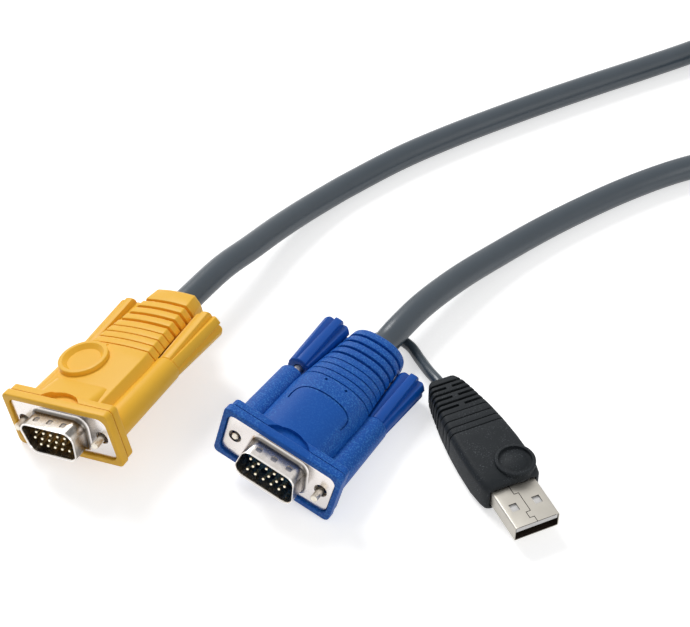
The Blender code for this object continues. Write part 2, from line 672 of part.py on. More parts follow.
def make_screw(name, frame, side, tube_rear, drawn_back):
    """A steel jackscrew: thin pilot, thread and plain shank, whose end sits in the grip."""
    end = tube_rear + TOUCH_GAP + SHANK_IN_GRIP
    nose = -SCREW_TIP_REACH
    thread = nose + PILOT_LENGTH
    profile = (
        (0.0, nose), (PILOT_RADIUS - SCREW_TIP_CHAMFER, nose), (PILOT_RADIUS, nose + SCREW_TIP_CHAMFER),
        (PILOT_RADIUS, thread), (THREAD_RADIUS, thread + THREAD_RADIUS - PILOT_RADIUS),
        (THREAD_RADIUS, thread + THREAD_LENGTH), (SHANK_RADIUS, thread + THREAD_LENGTH + SCREW_TIP_CHAMFER),
        (SHANK_RADIUS, end), (0.0, end),
    )
    screw = turned(name, profile)
    screw.location = (side * SCREW_SPACING / 2, drawn_back, 0.0)
    return finish(screw, STEEL, frame)


def grip_ring(along, radius, flute_depth):
    """A round with V-shaped flutes, four points to a flute."""
    points = []
    for i in range(4 * GRIP_FLUTE_COUNT):
        angle = 2 * math.pi * i / (4 * GRIP_FLUTE_COUNT)
        r = radius - flute_depth * (0.0, 0.15, 1.0, 0.15)[i % 4]
        points.append((r * math.cos(angle), along, r * math.sin(angle)))
    return points


def make_grip(name, frame, side, tube_rear, drawn_back, material):
    """A flaring thumb grip whose flutes start behind a plain collar."""
    front = tube_rear + TOUCH_GAP
    rings = [grip_ring(front, GRIP_FRONT_RADIUS - GRIP_EDGE / 2, 0.0),
             grip_ring(front + GRIP_EDGE / 2, GRIP_FRONT_RADIUS, 0.0)]
    flare = GRIP_REAR_RADIUS - GRIP_FRONT_RADIUS
    for t in (0.0, 0.35, 0.7, 1.0):
        along = front + GRIP_FLUTE_START + t * (GRIP_LENGTH - GRIP_FLUTE_START - GRIP_EDGE)
        rings.append(grip_ring(along, GRIP_FRONT_RADIUS + flare * t, GRIP_FLUTE_DEPTH * t))
    rings.append(grip_ring(front + GRIP_LENGTH, GRIP_REAR_RADIUS - GRIP_EDGE, GRIP_FLUTE_DEPTH))
    grip = loft(name, rings)
    bore = SHANK_RADIUS + SHANK_CLEARANCE
    cut(grip, cylinder("bore", "Y", bore, front - GRIP_EDGE, front + SHANK_IN_GRIP + TOUCH_GAP, steps=16))
    grip.location = (side * SCREW_SPACING / 2, drawn_back, 0.0)
    return finish(grip, material, frame)


def make_video_plug(colour, place, section, length, tube_rear, plastic, insulator_material, wide_side_up,
                    badge, missing_pin, left_drawn_back):
    frame = plug_frame(f"{colour}_plug", place)
    make_hood(f"{colour}_hood", section, length, tube_rear, frame, plastic, badge)
    make_front_shell(f"{colour}_front_shell", frame, wide_side_up)
    make_rear_shell(f"{colour}_rear_shell", frame, wide_side_up)
    make_insulator(f"{colour}_insulator", frame, wide_side_up, insulator_material)
    make_inner_mould(f"{colour}_inner_mould", frame)
    make_pins(colour, frame, wide_side_up, missing_pin)
    for hand, side, drawn_back in (("left", -1, left_drawn_back), ("right", 1, 0.0)):
        make_screw(f"{colour}_screw_{hand}", frame, side, tube_rear, drawn_back)
        make_grip(f"{colour}_grip_{hand}", frame, side, tube_rear, drawn_back, plastic)
    return set_down(frame)


def make_usb_shell(frame):
    """A folded sheet-metal tube with two latch windows on its upper side and two on its lower."""
    outer = box_outline(USB_SHELL_WIDTH, USB_SHELL_HEIGHT, USB_SHELL_CORNER, 2)
    inner = box_outline(USB_SHELL_WIDTH - 2 * USB_SHELL_WALL, USB_SHELL_HEIGHT - 2 * USB_SHELL_WALL,
                        USB_SHELL_CORNER - USB_SHELL_WALL, 2)
    shell = prism("usb_shell", outer, -USB_SHELL_REACH, USB_SHELL_SEATED)
    cut(shell, prism("inside", inner, -2 * USB_SHELL_REACH, 2 * USB_SHELL_SEATED))
    for side in (-1, 1):
        x = side * USB_WINDOW_SPACING / 2
        low = (x - USB_WINDOW_WIDTH / 2, -USB_WINDOW_FROM_BOOT - USB_WINDOW_LENGTH / 2, -USB_SHELL_HEIGHT)
        high = (x + USB_WINDOW_WIDTH / 2, -USB_WINDOW_FROM_BOOT + USB_WINDOW_LENGTH / 2, USB_SHELL_HEIGHT)
        cut(shell, block("window", low, high))
    return finish(shell, NICKEL, frame)


TONGUE_TOP = USB_SHELL_HEIGHT / 2 - USB_SHELL_WALL - USB_TONGUE_CLEARANCE
TONGUE_BOTTOM = TONGUE_TOP - USB_TONGUE_THICKNESS
TONGUE_FRONT = USB_TONGUE_RECESS - USB_SHELL_REACH
TONGUE_HALF_WIDTH = USB_SHELL_WIDTH / 2 - USB_SHELL_WALL - USB_TONGUE_CLEARANCE
CONTACT_FRONT = TONGUE_FRONT + 2 * USB_TONGUE_RECESS
USB_CONTACTS = (
    (-USB_OUTER_CONTACT, USB_OUTER_CONTACT_LENGTH), (-USB_INNER_CONTACT, USB_INNER_CONTACT_LENGTH),
    (USB_INNER_CONTACT, USB_INNER_CONTACT_LENGTH), (USB_OUTER_CONTACT, USB_OUTER_CONTACT_LENGTH),
)


def make_usb_tongue(frame):
    """The white contact carrier, with a channel for each contact in its lower face."""
    low = (-TONGUE_HALF_WIDTH, TONGUE_FRONT, TONGUE_BOTTOM)
    high = (TONGUE_HALF_WIDTH, USB_SHELL_SEATED, TONGUE_TOP)
    tongue = block("usb_tongue", low, high)
    half = USB_CONTACT_WIDTH / 2 + USB_CONTACT_CLEARANCE
    for x, length in USB_CONTACTS:
        front = CONTACT_FRONT - USB_CONTACT_CLEARANCE
        back = CONTACT_FRONT + length + USB_CONTACT_CLEARANCE
        ceiling = TONGUE_BOTTOM + USB_CONTACT_SINK + USB_CONTACT_CLEARANCE
        channel = block("channel", (x - half, front, TONGUE_BOTTOM - USB_TONGUE_THICKNESS), (x + half, back, ceiling))
        cut(tongue, channel)
    return finish(tongue, WHITE_PLASTIC, frame)


def make_usb_contacts(frame):
    for number, (x, length) in enumerate(USB_CONTACTS, start=1):
        top = TONGUE_BOTTOM + USB_CONTACT_SINK
        low = (x - USB_CONTACT_WIDTH / 2, CONTACT_FRONT, top - USB_CONTACT_THICKNESS)
        high = (x + USB_CONTACT_WIDTH / 2, CONTACT_FRONT + length, top)
        finish(block(f"usb_contact_{number}", low, high), GOLD, frame)


def boot_section(along):
    """The boot's outline: a rounded box at the front that narrows to a round end."""
    rise = min(1.0, along / (BOOT_TAPER_START / 2))
    swell = math.sin(rise * math.pi / 2)
    fall = max(0.0, (along - BOOT_TAPER_START) / (BOOT_LENGTH - BOOT_TAPER_START))
    ease = 0.45 * fall + 0.55 * fall * fall
    width = BOOT_FRONT_WIDTH + (BOOT_WIDTH - BOOT_FRONT_WIDTH) * swell
    height = BOOT_FRONT_HEIGHT + (BOOT_HEIGHT - BOOT_FRONT_HEIGHT) * swell
    width += (BOOT_END_WIDTH - width) * ease
    height += (BOOT_END_HEIGHT - height) * ease
    power = BOOT_OVAL_POWER + (BOOT_END_OVAL_POWER - BOOT_OVAL_POWER) * fall
    return oval_outline(width, height, power, ROUND_STEPS)


def make_boot_slots(boot):
    """Split slots between the full grooves: each stops at a bridge on the upper and lower side."""
    for i in range(BOOT_DEEP_COUNT):
        along = BOOT_DEEP_FIRST + (i - 0.5) * BOOT_DEEP_PITCH
        outline = boot_section(along)
        reach_x = max(x for x, z in outline)
        reach_z = max(z for x, z in outline)
        floor = shrink(outline, BOOT_SLOT_DEPTH)
        for side in (-1, 1):
            near, far = sorted((side * BOOT_SLOT_BRIDGE, side * 2 * reach_x))
            low = (near, along - BOOT_SLOT_WIDTH / 2, -2 * reach_z)
            high = (far, along + BOOT_SLOT_WIDTH / 2, 2 * reach_z)
            slot = block("slot", low, high)
            cut(slot, prism("floor", floor, along - BOOT_SLOT_WIDTH, along + BOOT_SLOT_WIDTH))
            cut(boot, slot)


def make_usb_boot(frame):
    """The moulded boot: rounded body, ribbed tail and the bare ring on its upper side."""
    stations = [(0.0, RELIEF_END_ROUND), (RELIEF_END_ROUND, 0.0)]
    stations += [(BOOT_TAPER_START * k / 4, 0.0) for k in range(1, 5)]
    stations += groove_profile(BOOT_FINE_FIRST, BOOT_FINE_PITCH, BOOT_FINE_COUNT, BOOT_FINE_WIDTH,
                               BOOT_FINE_DEPTH, False)
    stations += groove_profile(BOOT_DEEP_FIRST, BOOT_DEEP_PITCH, BOOT_DEEP_COUNT, BOOT_DEEP_WIDTH,
                               BOOT_DEEP_DEPTH, True)
    stations += [(BOOT_LENGTH - RELIEF_END_ROUND, 0.0), (BOOT_LENGTH, RELIEF_END_ROUND)]
    rings = []
    for along, depth in stations:
        rings.append([(x, along, z) for x, z in shrink(boot_section(along), depth)])
    boot = loft("usb_boot", rings)
    make_boot_slots(boot)
    top = BOOT_HEIGHT / 2 + BOOT_BADGE_PROUD
    centre = (BOOT_BADGE_X, BOOT_BADGE_Y)
    join(boot, cylinder("badge", "Z", BOOT_BADGE_RADIUS, top - BOOT_BADGE_THICKNESS, top, centre))
    moat = cylinder("moat", "Z", BOOT_BADGE_RADIUS - BOOT_BADGE_RIM, top - BOOT_BADGE_PROUD, 2 * top, centre)
    cut(boot, moat)
    for front, back, outline in (
        (-RELIEF_END_ROUND, USB_SHELL_SEATED + TOUCH_GAP,
         box_outline(USB_SHELL_WIDTH + 2 * TOUCH_GAP, USB_SHELL_HEIGHT + 2 * TOUCH_GAP, USB_SHELL_CORNER, 2)),
        (0.0, USB_SHELL_SEATED + USB_MOULD_LENGTH + 2 * TOUCH_GAP,
         box_outline(USB_MOULD_WIDTH + 2 * TOUCH_GAP, USB_MOULD_HEIGHT + 2 * TOUCH_GAP, USB_MOULD_CORNER, 2)),
    ):
        cut(boot, prism("pocket", outline, front, back))
    return finish(boot, BLACK_RUBBER, frame)


def make_usb_plug(place):
    frame = plug_frame("usb_plug", place)
    make_usb_boot(frame)
    make_usb_shell(frame)
    make_usb_tongue(frame)
    make_usb_contacts(frame)
    outline = box_outline(USB_MOULD_WIDTH, USB_MOULD_HEIGHT, USB_MOULD_CORNER, 2)
    front = USB_SHELL_SEATED + TOUCH_GAP
    finish(prism("usb_inner_mould", outline, front, front + USB_MOULD_LENGTH), NATURAL_MOULD, frame)
    return set_down(frame)


def curve_through(points, steps=ROUTE_STEPS):
    """Points along a smooth curve through the given ones, with steps to each stretch."""
    ends = [2 * points[0] - points[1], *points, 2 * points[-1] - points[-2]]
    smooth = []
    for before, start, end, after in zip(ends, ends[1:], ends[2:], ends[3:]):
        for k in range(steps):
            t = k / steps
            smooth.append(0.5 * (2 * start + (end - before) * t
                                 + (2 * before - 5 * start + 4 * end - after) * t ** 2
                                 + (3 * start - before - 3 * end + after) * t ** 3))
    smooth.append(points[-1])
    return smooth


def spaced(points, spacing):
    """Thin a fine curve to points about one spacing apart, both ends kept."""
    total = sum((b - a).length for a, b in zip(points, points[1:]))
    count = max(2, round(total / spacing))
    wanted = total / count
    kept = [points[0]]
    run = 0.0
    for a, b in zip(points, points[1:]):
        run += (b - a).length
        if run >= wanted * len(kept) and len(kept) < count:
            kept.append(b)
    kept.append(points[-1])
    return kept


def make_cord(name, points, diameter, spacing, resolution):
    """A round cord through the points, straight in its first and last stretch, with welded caps."""
    fine = curve_through(points)
    path = [fine[0], *spaced(fine[ROUTE_STEPS:-ROUTE_STEPS], spacing), fine[-1]]
    curve = bpy.data.curves.new(name, "CURVE")
    curve.dimensions = "3D"
    curve.bevel_depth = diameter / 2
    curve.bevel_resolution = resolution
    curve.use_fill_caps = True
    spline = curve.splines.new("POLY")
    spline.points.add(len(path) - 1)
    for place, point in zip(spline.points, path):
        place.co = (*point, 1.0)
    line = bpy.data.objects.new(name + "_line", curve)
    PARTS.objects.link(line)
    bpy.context.view_layer.update()
    mesh = bpy.data.meshes.new_from_object(line.evaluated_get(bpy.context.evaluated_depsgraph_get()))
    bpy.data.objects.remove(line, do_unlink=True)
    shape = bmesh.new()
    shape.from_mesh(mesh)
    bmesh.ops.remove_doubles(shape, verts=shape.verts, dist=0.001 * MM)
    return finish(object_from_bmesh(name, shape), GREY_CORD)


def table_points(route):
    return [Vector(point) * MM for point in route]


def run_to_coil(points):
    """Carry a route straight on until its cut edge lies a touching gap from the coil's side."""
    before, last = points[-2:]
    heading = Vector((last.x - before.x, last.y - before.y, 0.0)).normalized()
    edge = Vector((last.x, last.y, 0.0)) - COIL_CENTRE
    aside = edge - heading * edge.dot(heading)
    aside -= aside.normalized() * CORD_DIAMETER / 2
    reach = COIL_MID_RADIUS + COIL_WIDTH / 2 + TOUCH_GAP
    along = -edge.dot(heading) - math.sqrt(reach ** 2 - aside.length_squared)
    return [*points[:-1], last + heading * along]


def make_main_cord(blue, yellow):
    """The long cord on both sides of the coil. It leaves each hood square to its end."""
    for name, frame, length, route in (
        ("cord_blue_side", blue, BLUE_LENGTH, BLUE_ROUTE), ("cord_yellow_side", yellow, YELLOW_LENGTH, YELLOW_ROUTE),
    ):
        leaving = [frame.matrix_world @ Vector((0.0, length + TOUCH_GAP + run, 0.0)) for run in (0.0, STRAIGHT_EXIT)]
        points = run_to_coil(leaving + table_points(route))
        make_cord(name, points, CORD_DIAMETER, CORD_POINT_SPACING, 3)


def make_usb_lead(blue, usb):
    """The thin lead from the blue hood's end, under the long cord, to the USB boot."""
    runs = (0.0, LEAD_STRAIGHT)
    start = [blue.matrix_world @ Vector((LEAD_EXIT_X, BLUE_LENGTH + TOUCH_GAP + run, LEAD_EXIT_Z)) for run in runs]
    end = [usb.matrix_world @ Vector((0.0, BOOT_LENGTH + TOUCH_GAP + run, 0.0)) for run in reversed(runs)]
    points = [*start, *table_points(LEAD_ROUTE), *end]
    make_cord("usb_lead", points, LEAD_DIAMETER, LEAD_POINT_SPACING, 2)


def make_coil():
    """The wound spare length as one ring, with a shallow notch below for the tie."""
    section = box_outline(COIL_WIDTH, COIL_HEIGHT, CORD_DIAMETER / 2, 2)
    profile = [(COIL_MID_RADIUS + x, COIL_HEIGHT / 2 + z) for x, z in section]
    coil = turned("cord_coil", profile, "Z", 2 * ROUND_STEPS, closed=True)
    notch_width = TIE_WIDTH + 2 * TOUCH_GAP
    notch_top = TIE_THICKNESS + TOUCH_GAP
    notch = block("notch", (COIL_MID_RADIUS - COIL_WIDTH, -notch_width / 2, -COIL_HEIGHT),
                  (COIL_MID_RADIUS + COIL_WIDTH, notch_width / 2, notch_top))
    notch.matrix_world = Matrix.Rotation(TIE_ANGLE, 4, "Z")
    cut(coil, notch)
    coil.location = COIL_CENTRE
    return finish(coil, GREY_CORD)


def make_tie():
    """A flat strap round the coil's turns."""
    inside = box_outline(COIL_WIDTH + 2 * TIE_SIDE_CLEARANCE, COIL_HEIGHT + TOUCH_GAP - TIE_THICKNESS,
                         CORD_DIAMETER / 3, 3)
    outside = box_outline(COIL_WIDTH + 2 * TIE_SIDE_CLEARANCE + 2 * TIE_THICKNESS,
                          COIL_HEIGHT + TOUCH_GAP + TIE_THICKNESS, CORD_DIAMETER / 3 + TIE_THICKNESS, 3)
    tie = prism("coil_tie", outside, -TIE_WIDTH / 2, TIE_WIDTH / 2)
    cut(tie, prism("inside", inside, -TIE_WIDTH, TIE_WIDTH))
    middle = (COIL_HEIGHT + TOUCH_GAP + TIE_THICKNESS) / 2
    place = Matrix.Rotation(TIE_ANGLE, 4, "Z") @ Matrix.Translation((COIL_MID_RADIUS, 0.0, middle))
    tie.matrix_world = Matrix.Translation(COIL_CENTRE) @ place
    return finish(tie, TIE_BLACK)


blue_frame = make_video_plug("blue", BLUE_PLACE, blue_section, BLUE_LENGTH, BLUE_TUBE_REAR, BLUE_PLASTIC,
                             NAVY_INSULATOR, False, False, KEY_PIN, BLUE_LEFT_DRAWN_BACK)
yellow_frame = make_video_plug("yellow", YELLOW_PLACE, yellow_section, YELLOW_LENGTH, YELLOW_TUBE_REAR,
                               YELLOW_PLASTIC, BROWN_INSULATOR, True, True, None, 0.0)
usb_frame = make_usb_plug(USB_PLACE)
make_main_cord(blue_frame, yellow_frame)
make_usb_lead(blue_frame, usb_frame)
make_coil()
make_tie()
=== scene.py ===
"""A KVM cable on a white table: two video plugs on one long cord, and a USB plug on a short lead.

Each plug is modelled in millimetres about its own face: X runs across the face, Y runs back into the cord
and Z is up. It is then laid on the table in metres.
"""

import math

import bmesh
import bpy
from mathutils import Matrix, Vector


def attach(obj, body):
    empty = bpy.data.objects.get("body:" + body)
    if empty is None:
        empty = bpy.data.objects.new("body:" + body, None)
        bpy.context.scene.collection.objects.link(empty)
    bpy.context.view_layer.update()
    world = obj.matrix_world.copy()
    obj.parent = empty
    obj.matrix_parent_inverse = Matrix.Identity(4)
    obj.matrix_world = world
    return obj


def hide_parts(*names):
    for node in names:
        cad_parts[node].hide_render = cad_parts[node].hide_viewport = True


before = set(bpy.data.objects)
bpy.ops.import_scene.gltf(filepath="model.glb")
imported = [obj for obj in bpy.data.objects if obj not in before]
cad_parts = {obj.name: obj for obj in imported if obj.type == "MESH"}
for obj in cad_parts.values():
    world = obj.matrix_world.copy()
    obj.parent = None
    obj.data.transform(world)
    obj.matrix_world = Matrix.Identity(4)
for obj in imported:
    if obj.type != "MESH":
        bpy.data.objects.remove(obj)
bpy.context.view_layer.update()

MM = 0.001


class Lay:
    """Where a plug lies on the table: the place of its face in millimetres, and its turn in degrees."""

    def __init__(self, place, yaw, pitch, roll):
        self.place = Vector(place) * MM
        self.turn = (
            Matrix.Rotation(math.radians(yaw), 4, "Z")
            @ Matrix.Rotation(-math.radians(pitch), 4, "X")
            @ Matrix.Rotation(-math.radians(roll), 4, "Y")
        )
        self.matrix = Matrix.Translation(self.place) @ self.turn @ Matrix.Scale(MM, 4)

    def at(self, x, y, z):
        return self.matrix @ Vector((x, y, z))


BLUE = Lay((1.0, -21.3, 11.371), -30.3, 5.4, -12.4)
YELLOW = Lay((-51.9, -10.5, 11.896), -30.0, 1.6, 14.9)
USB = Lay((58.0, -24.6, 4.8), 24.4, 0.0, 0.0)

# Shader maths


class Value:
    """A shader socket that can be used in sums."""

    def __init__(self, nodes, socket):
        self.nodes = nodes
        self.socket = socket

    def sum(self, operation, *others):
        return self.nodes.add("ShaderNodeMath", {"operation": operation}, dict(enumerate((self, *others))))

    def __add__(self, other):
        return self.sum("ADD", other)

    def __radd__(self, other):
        return self.sum("ADD", other)

    def __sub__(self, other):
        return self.sum("SUBTRACT", other)

    def __rsub__(self, other):
        return self.nodes.add("ShaderNodeMath", {"operation": "SUBTRACT"}, {0: other, 1: self})

    def __mul__(self, other):
        return self.sum("MULTIPLY", other)

    def __abs__(self):
        return self.sum("ABSOLUTE")

    def above(self, edge, soft):
        """0 below an edge and 1 above it, with a soft change of that width."""
        sockets = {"Value": self, 1: edge - soft / 2, 2: edge + soft / 2}
        return self.nodes.add("ShaderNodeMapRange", {"interpolation_type": "SMOOTHSTEP"}, sockets)

    def below(self, edge, soft):
        return 1 - self.above(edge, soft)


class Nodes:
    """A shader tree, and the one way in which nodes are added to it."""

    def __init__(self, tree):
        self.tree = tree
        tree.nodes.clear()

    def plug(self, socket, value):
        if isinstance(value, Value):
            self.tree.links.new(value.socket, socket)
        elif socket.type == "RGBA":
            socket.default_value = (*value, 1.0)
        else:
            socket.default_value = value

    def add(self, kind, settings=None, sockets=None, output=0):
        """Add a node: its settings first, then the values or links of its sockets."""
        node = self.tree.nodes.new(kind)
        for name, value in (settings or {}).items():
            setattr(node, name, value)
        for name, value in (sockets or {}).items():
            self.plug(node.inputs[name], value)
        return Value(self, node.outputs[output]) if node.outputs else node

    def looked_at(self):
        """1 where the camera, a reflection or clear material looks, and 0 for light that falls."""
        camera = self.add("ShaderNodeLightPath", output="Is Camera Ray")
        rays = camera.socket.node.outputs
        glossy = camera.sum("MAXIMUM", Value(self, rays["Is Glossy Ray"]))
        return glossy.sum("MAXIMUM", Value(self, rays["Is Transmission Ray"]))


class Finish(Nodes):
    """One material: a Principled shader, and the nodes that feed it."""

    def __init__(self, name, colour, roughness, metallic=0.0, gloss=0.5, lay=None):
        self.material = bpy.data.materials.new(name)
        self.material.use_nodes = True
        super().__init__(self.material.node_tree)
        self.skin = self.add("ShaderNodeBsdfPrincipled", None, {
            "Base Color": colour, "Roughness": roughness,
            "Metallic": metallic, "Specular IOR Level": gloss})
        self.output = self.add("ShaderNodeOutputMaterial", None, {"Surface": self.skin})
        self.place = self.add("ShaderNodeTexCoord", output="Object")
        if lay is not None:
            self.place = self.add("ShaderNodeMapping", {"vector_type": "TEXTURE"}, {
                "Vector": self.place, "Location": lay.place, "Rotation": lay.turn.to_euler()})

    def set(self, **sockets):
        for name, value in sockets.items():
            self.plug(self.skin.socket.node.inputs[name], value)

    def axes(self):
        """The place on the piece as three numbers."""
        split = self.add("ShaderNodeSeparateXYZ", None, {0: self.place})
        return [Value(self, out) for out in split.socket.node.outputs]

    def grain(self, size, detail=2.0, roughness=0.5):
        """Noise from 0 to 1 whose lumps are about the given size in metres."""
        sockets = {"Vector": self.place, "Scale": 1 / size, "Detail": detail, "Roughness": roughness}
        return self.add("ShaderNodeTexNoise", None, sockets)

    def blend(self, amount, first, second):
        """A colour between two others."""
        sockets = {0: amount, 6: first, 7: second}
        return self.add("ShaderNodeMix", {"data_type": "RGBA"}, sockets, output=2)

    def emboss(self, height, depth):
        self.set(Normal=self.add("ShaderNodeBump", None, {"Height": height, "Distance": depth}))


def sandblasted_blue():
    """Deep blue moulding: a fine spark-eroded skin with painted light-blue sparkle, and a smooth field
    inside the engraved arch.
    """
    finish = Finish("blue_plastic", (0.004, 0.085, 0.40), 0.42, gloss=0.25, lay=BLUE)
    x, y, z = finish.axes()
    speck = finish.grain(0.42 * MM, 2.0, 0.6)
    fine = finish.grain(0.16 * MM, 1.0)
    across = abs(x + 0.2 * MM)
    field = across.below(7.0 * MM, 0.8 * MM) * y.below(19.6 * MM, 1.0 * MM) * z.above(3.0 * MM, 1.0 * MM)
    rough = 1 - field * 0.75
    # Painted sparkle: light-blue specks in the colour stand in for light glinting off the grains, fewer
    # inside the arch.
    painted_sparkle = speck.above(0.56, 0.16) * rough
    wide = finish.grain(6.0 * MM, 2.0)
    colour = finish.blend(painted_sparkle * 0.50, (0.002, 0.088, 0.42), (0.07, 0.29, 0.72))
    colour = finish.blend(wide * 0.25, colour, (0.001, 0.055, 0.29))
    finish.set(**{"Base Color": colour, "Roughness": 0.38 + speck * 0.14})
    finish.emboss((speck + fine * 0.4) * rough, 0.10 * MM)
    return finish


def plain_blue():
    """The thumb grips' smoother moulding."""
    finish = Finish("blue_grip_plastic", (0.003, 0.08, 0.38), 0.35, gloss=0.3, lay=BLUE)
    speck = finish.grain(0.3 * MM, 2.0)
    wide = finish.grain(5.0 * MM, 2.0)
    finish.set(**{"Base Color": finish.blend(wide * 0.4, (0.002, 0.085, 0.42), (0.001, 0.052, 0.29)),
                  "Roughness": 0.32 + speck * 0.12})
    finish.emboss(speck, 0.02 * MM)
    return finish


def satin_yellow():
    """Warm yellow moulding with a satin skin and faint flow marks."""
    finish = Finish("yellow_plastic", (0.92, 0.50, 0.05), 0.38, gloss=0.3, lay=YELLOW)
    wide = finish.grain(8.0 * MM, 3.0)
    fine = finish.grain(0.25 * MM, 2.0)
    colour = finish.blend(wide * 0.55, (0.93, 0.53, 0.050), (0.86, 0.44, 0.018))
    finish.set(**{"Base Color": colour, "Roughness": 0.36 + fine * 0.10})
    finish.emboss(fine + wide * 0.5, 0.015 * MM)
    return finish


def black_rubber():
    """The boot's soft black moulding: a dull skin with scattered pale grains."""
    finish = Finish("black_rubber", (0.010, 0.013, 0.016), 0.5, gloss=0.22, lay=USB)
    speck = finish.grain(0.35 * MM, 2.0, 0.6)
    wide = finish.grain(5.0 * MM, 2.0)
    pale = speck.above(0.62, 0.10) * wide.above(0.48, 0.2)
    finish.set(**{"Base Color": finish.blend(pale * 0.6, (0.010, 0.013, 0.016), (0.09, 0.10, 0.11)),
                  "Roughness": 0.54 + speck * 0.16})
    finish.emboss(speck, 0.05 * MM)
    return finish


def grey_cord():
    """The cord's smooth grey-blue jacket, with faint rubbing marks."""
    finish = Finish("grey_cord", (0.035, 0.052, 0.068), 0.3, gloss=0.6)
    wide = finish.grain(9.0 * MM, 3.0)
    fine = finish.grain(0.4 * MM, 2.0)
    finish.set(**{"Base Color": finish.blend(wide, (0.034, 0.050, 0.066), (0.050, 0.070, 0.090)),
                  "Roughness": 0.26 + fine * 0.08})
    finish.emboss(fine, 0.010 * MM)
    return finish


def front_metal(name, lay, painted_dark_reflection):
    """A video plug's sheet metal: pale face plate, drawn D with painted dark reflections and shade, pale
    rolled edge.
    """
    finish = Finish(name, (0.80, 0.76, 0.74), 0.24, 1.0, lay=lay)
    x, y, z = finish.axes()
    cloud = finish.grain(2.2 * MM, 3.0)
    streak = finish.grain(1.1 * MM, 2.0)
    drawn = y.below(-0.25 * MM, 0.3 * MM)
    # The flared foot of the D, which gets painted shade and dark reflection.
    foot = drawn * y.above(-1.5 * MM, 0.9 * MM)
    edge = y.below(-5.45 * MM, 0.3 * MM)
    colour = finish.blend(cloud * 0.5, (0.80, 0.76, 0.74), (0.70, 0.66, 0.63))
    # Painted dark reflection: brownish streaks darken the drawn D.
    colour = finish.blend(drawn * (painted_dark_reflection + streak * 0.45), colour, (0.30, 0.26, 0.20))
    # Painted dark reflections: near-black bands at both bent corners of the D.
    painted_corner_reflection = drawn * abs(x).above(6.3 * MM, 0.8 * MM) * abs(x).below(8.0 * MM, 0.5 * MM)
    colour = finish.blend(painted_corner_reflection * (0.35 + streak * 0.5), colour, (0.03, 0.035, 0.04))
    # Painted shade in the dimple hollows and on the inner walls of the D.
    painted_hollow_shade = drawn * abs(z).below(4.45 * MM, 0.05 * MM) * abs(x).below(5.6 * MM, 0.1 * MM)
    colour = finish.blend(painted_hollow_shade * 0.6, colour, (0.16, 0.16, 0.17))
    # Painted shade and dark reflection at the flared foot of the D.
    colour = finish.blend(foot * 0.75, colour, (0.07, 0.06, 0.05))
    # The rolled front edge keeps the pale plate colour, without the painted darkening.
    colour = finish.blend(edge, colour, (0.80, 0.77, 0.74))
    finish.set(**{"Base Color": colour, "Roughness": 0.20 + cloud * 0.12})
    finish.emboss(streak, 0.01 * MM)
    return finish


def usb_metal():
    """The USB plug's dull plating, with painted shade inside the mouth."""
    finish = Finish("usb_nickel", (0.56, 0.53, 0.48), 0.36, 1.0, lay=USB)
    x, _, z = finish.axes()
    cloud = finish.grain(2.5 * MM, 3.0)
    fine = finish.grain(0.2 * MM, 2.0)
    # Painted shade: the shell's inner faces, inside the mouth, are made near black.
    inside = abs(z).below(1.99 * MM, 0.03 * MM) * abs(x).below(5.74 * MM, 0.03 * MM)
    colour = finish.blend(cloud * 0.6, (0.51, 0.485, 0.435), (0.42, 0.395, 0.35))
    seam = z.above(2.0 * MM, 0.03 * MM) * z.below(2.19 * MM, 0.03 * MM) * abs(x).below(5.0 * MM, 0.1 * MM)
    colour = finish.blend(seam, colour, (0.05, 0.045, 0.04))
    finish.set(**{"Base Color": finish.blend(inside, colour, (0.035, 0.026, 0.020)),
                  "Roughness": 0.34 + cloud * 0.10 + inside * 0.3})
    finish.emboss(fine, 0.004 * MM)
    return finish


def plated(name, colour, roughness, stain):
    """Plated sheet metal, slightly clouded."""
    finish = Finish(name, colour, roughness, 1.0)
    cloud = finish.grain(2.5 * MM, 3.0)
    fine = finish.grain(0.2 * MM, 2.0)
    finish.set(**{"Base Color": finish.blend(cloud * 0.6, colour, stain),
                  "Roughness": roughness + cloud * 0.10})
    finish.emboss(fine, 0.004 * MM)
    return finish


def moulded(name, colour, roughness):
    """A plain moulded plastic with a faint grain."""
    finish = Finish(name, colour, roughness, gloss=0.2)
    fine = finish.grain(0.2 * MM, 2.0)
    wide = finish.grain(3.0 * MM, 2.0)
    shade = tuple(0.75 * part for part in colour)
    finish.set(**{"Base Color": finish.blend(wide * 0.6, colour, shade),
                  "Roughness": roughness + fine * 0.1})
    finish.emboss(fine, 0.01 * MM)
    return finish


def woven_strap():
    """The tie's black webbing: fine ribs each way."""
    finish = Finish("tie_black", (0.012, 0.012, 0.013), 0.75)
    x, y, z = finish.axes()
    rib = (x + z * 0.8).sum("MULTIPLY", 2 * math.pi / (0.9 * MM)).sum("SINE")
    across = (y - z * 0.3).sum("MULTIPLY", 2 * math.pi / (0.7 * MM)).sum("SINE")
    fuzz = finish.grain(0.3 * MM, 3.0)
    finish.set(**{"Base Color": finish.blend(fuzz, (0.008, 0.008, 0.009), (0.035, 0.035, 0.038)),
                  "Roughness": 0.7 + fuzz * 0.2})
    finish.emboss(rib * across + fuzz, 0.08 * MM)
    return finish


BLUE_SKIN = sandblasted_blue()
BLUE_GRIP = plain_blue()
YELLOW_SKIN = satin_yellow()
RUBBER = black_rubber()
CORD_SKIN = grey_cord()
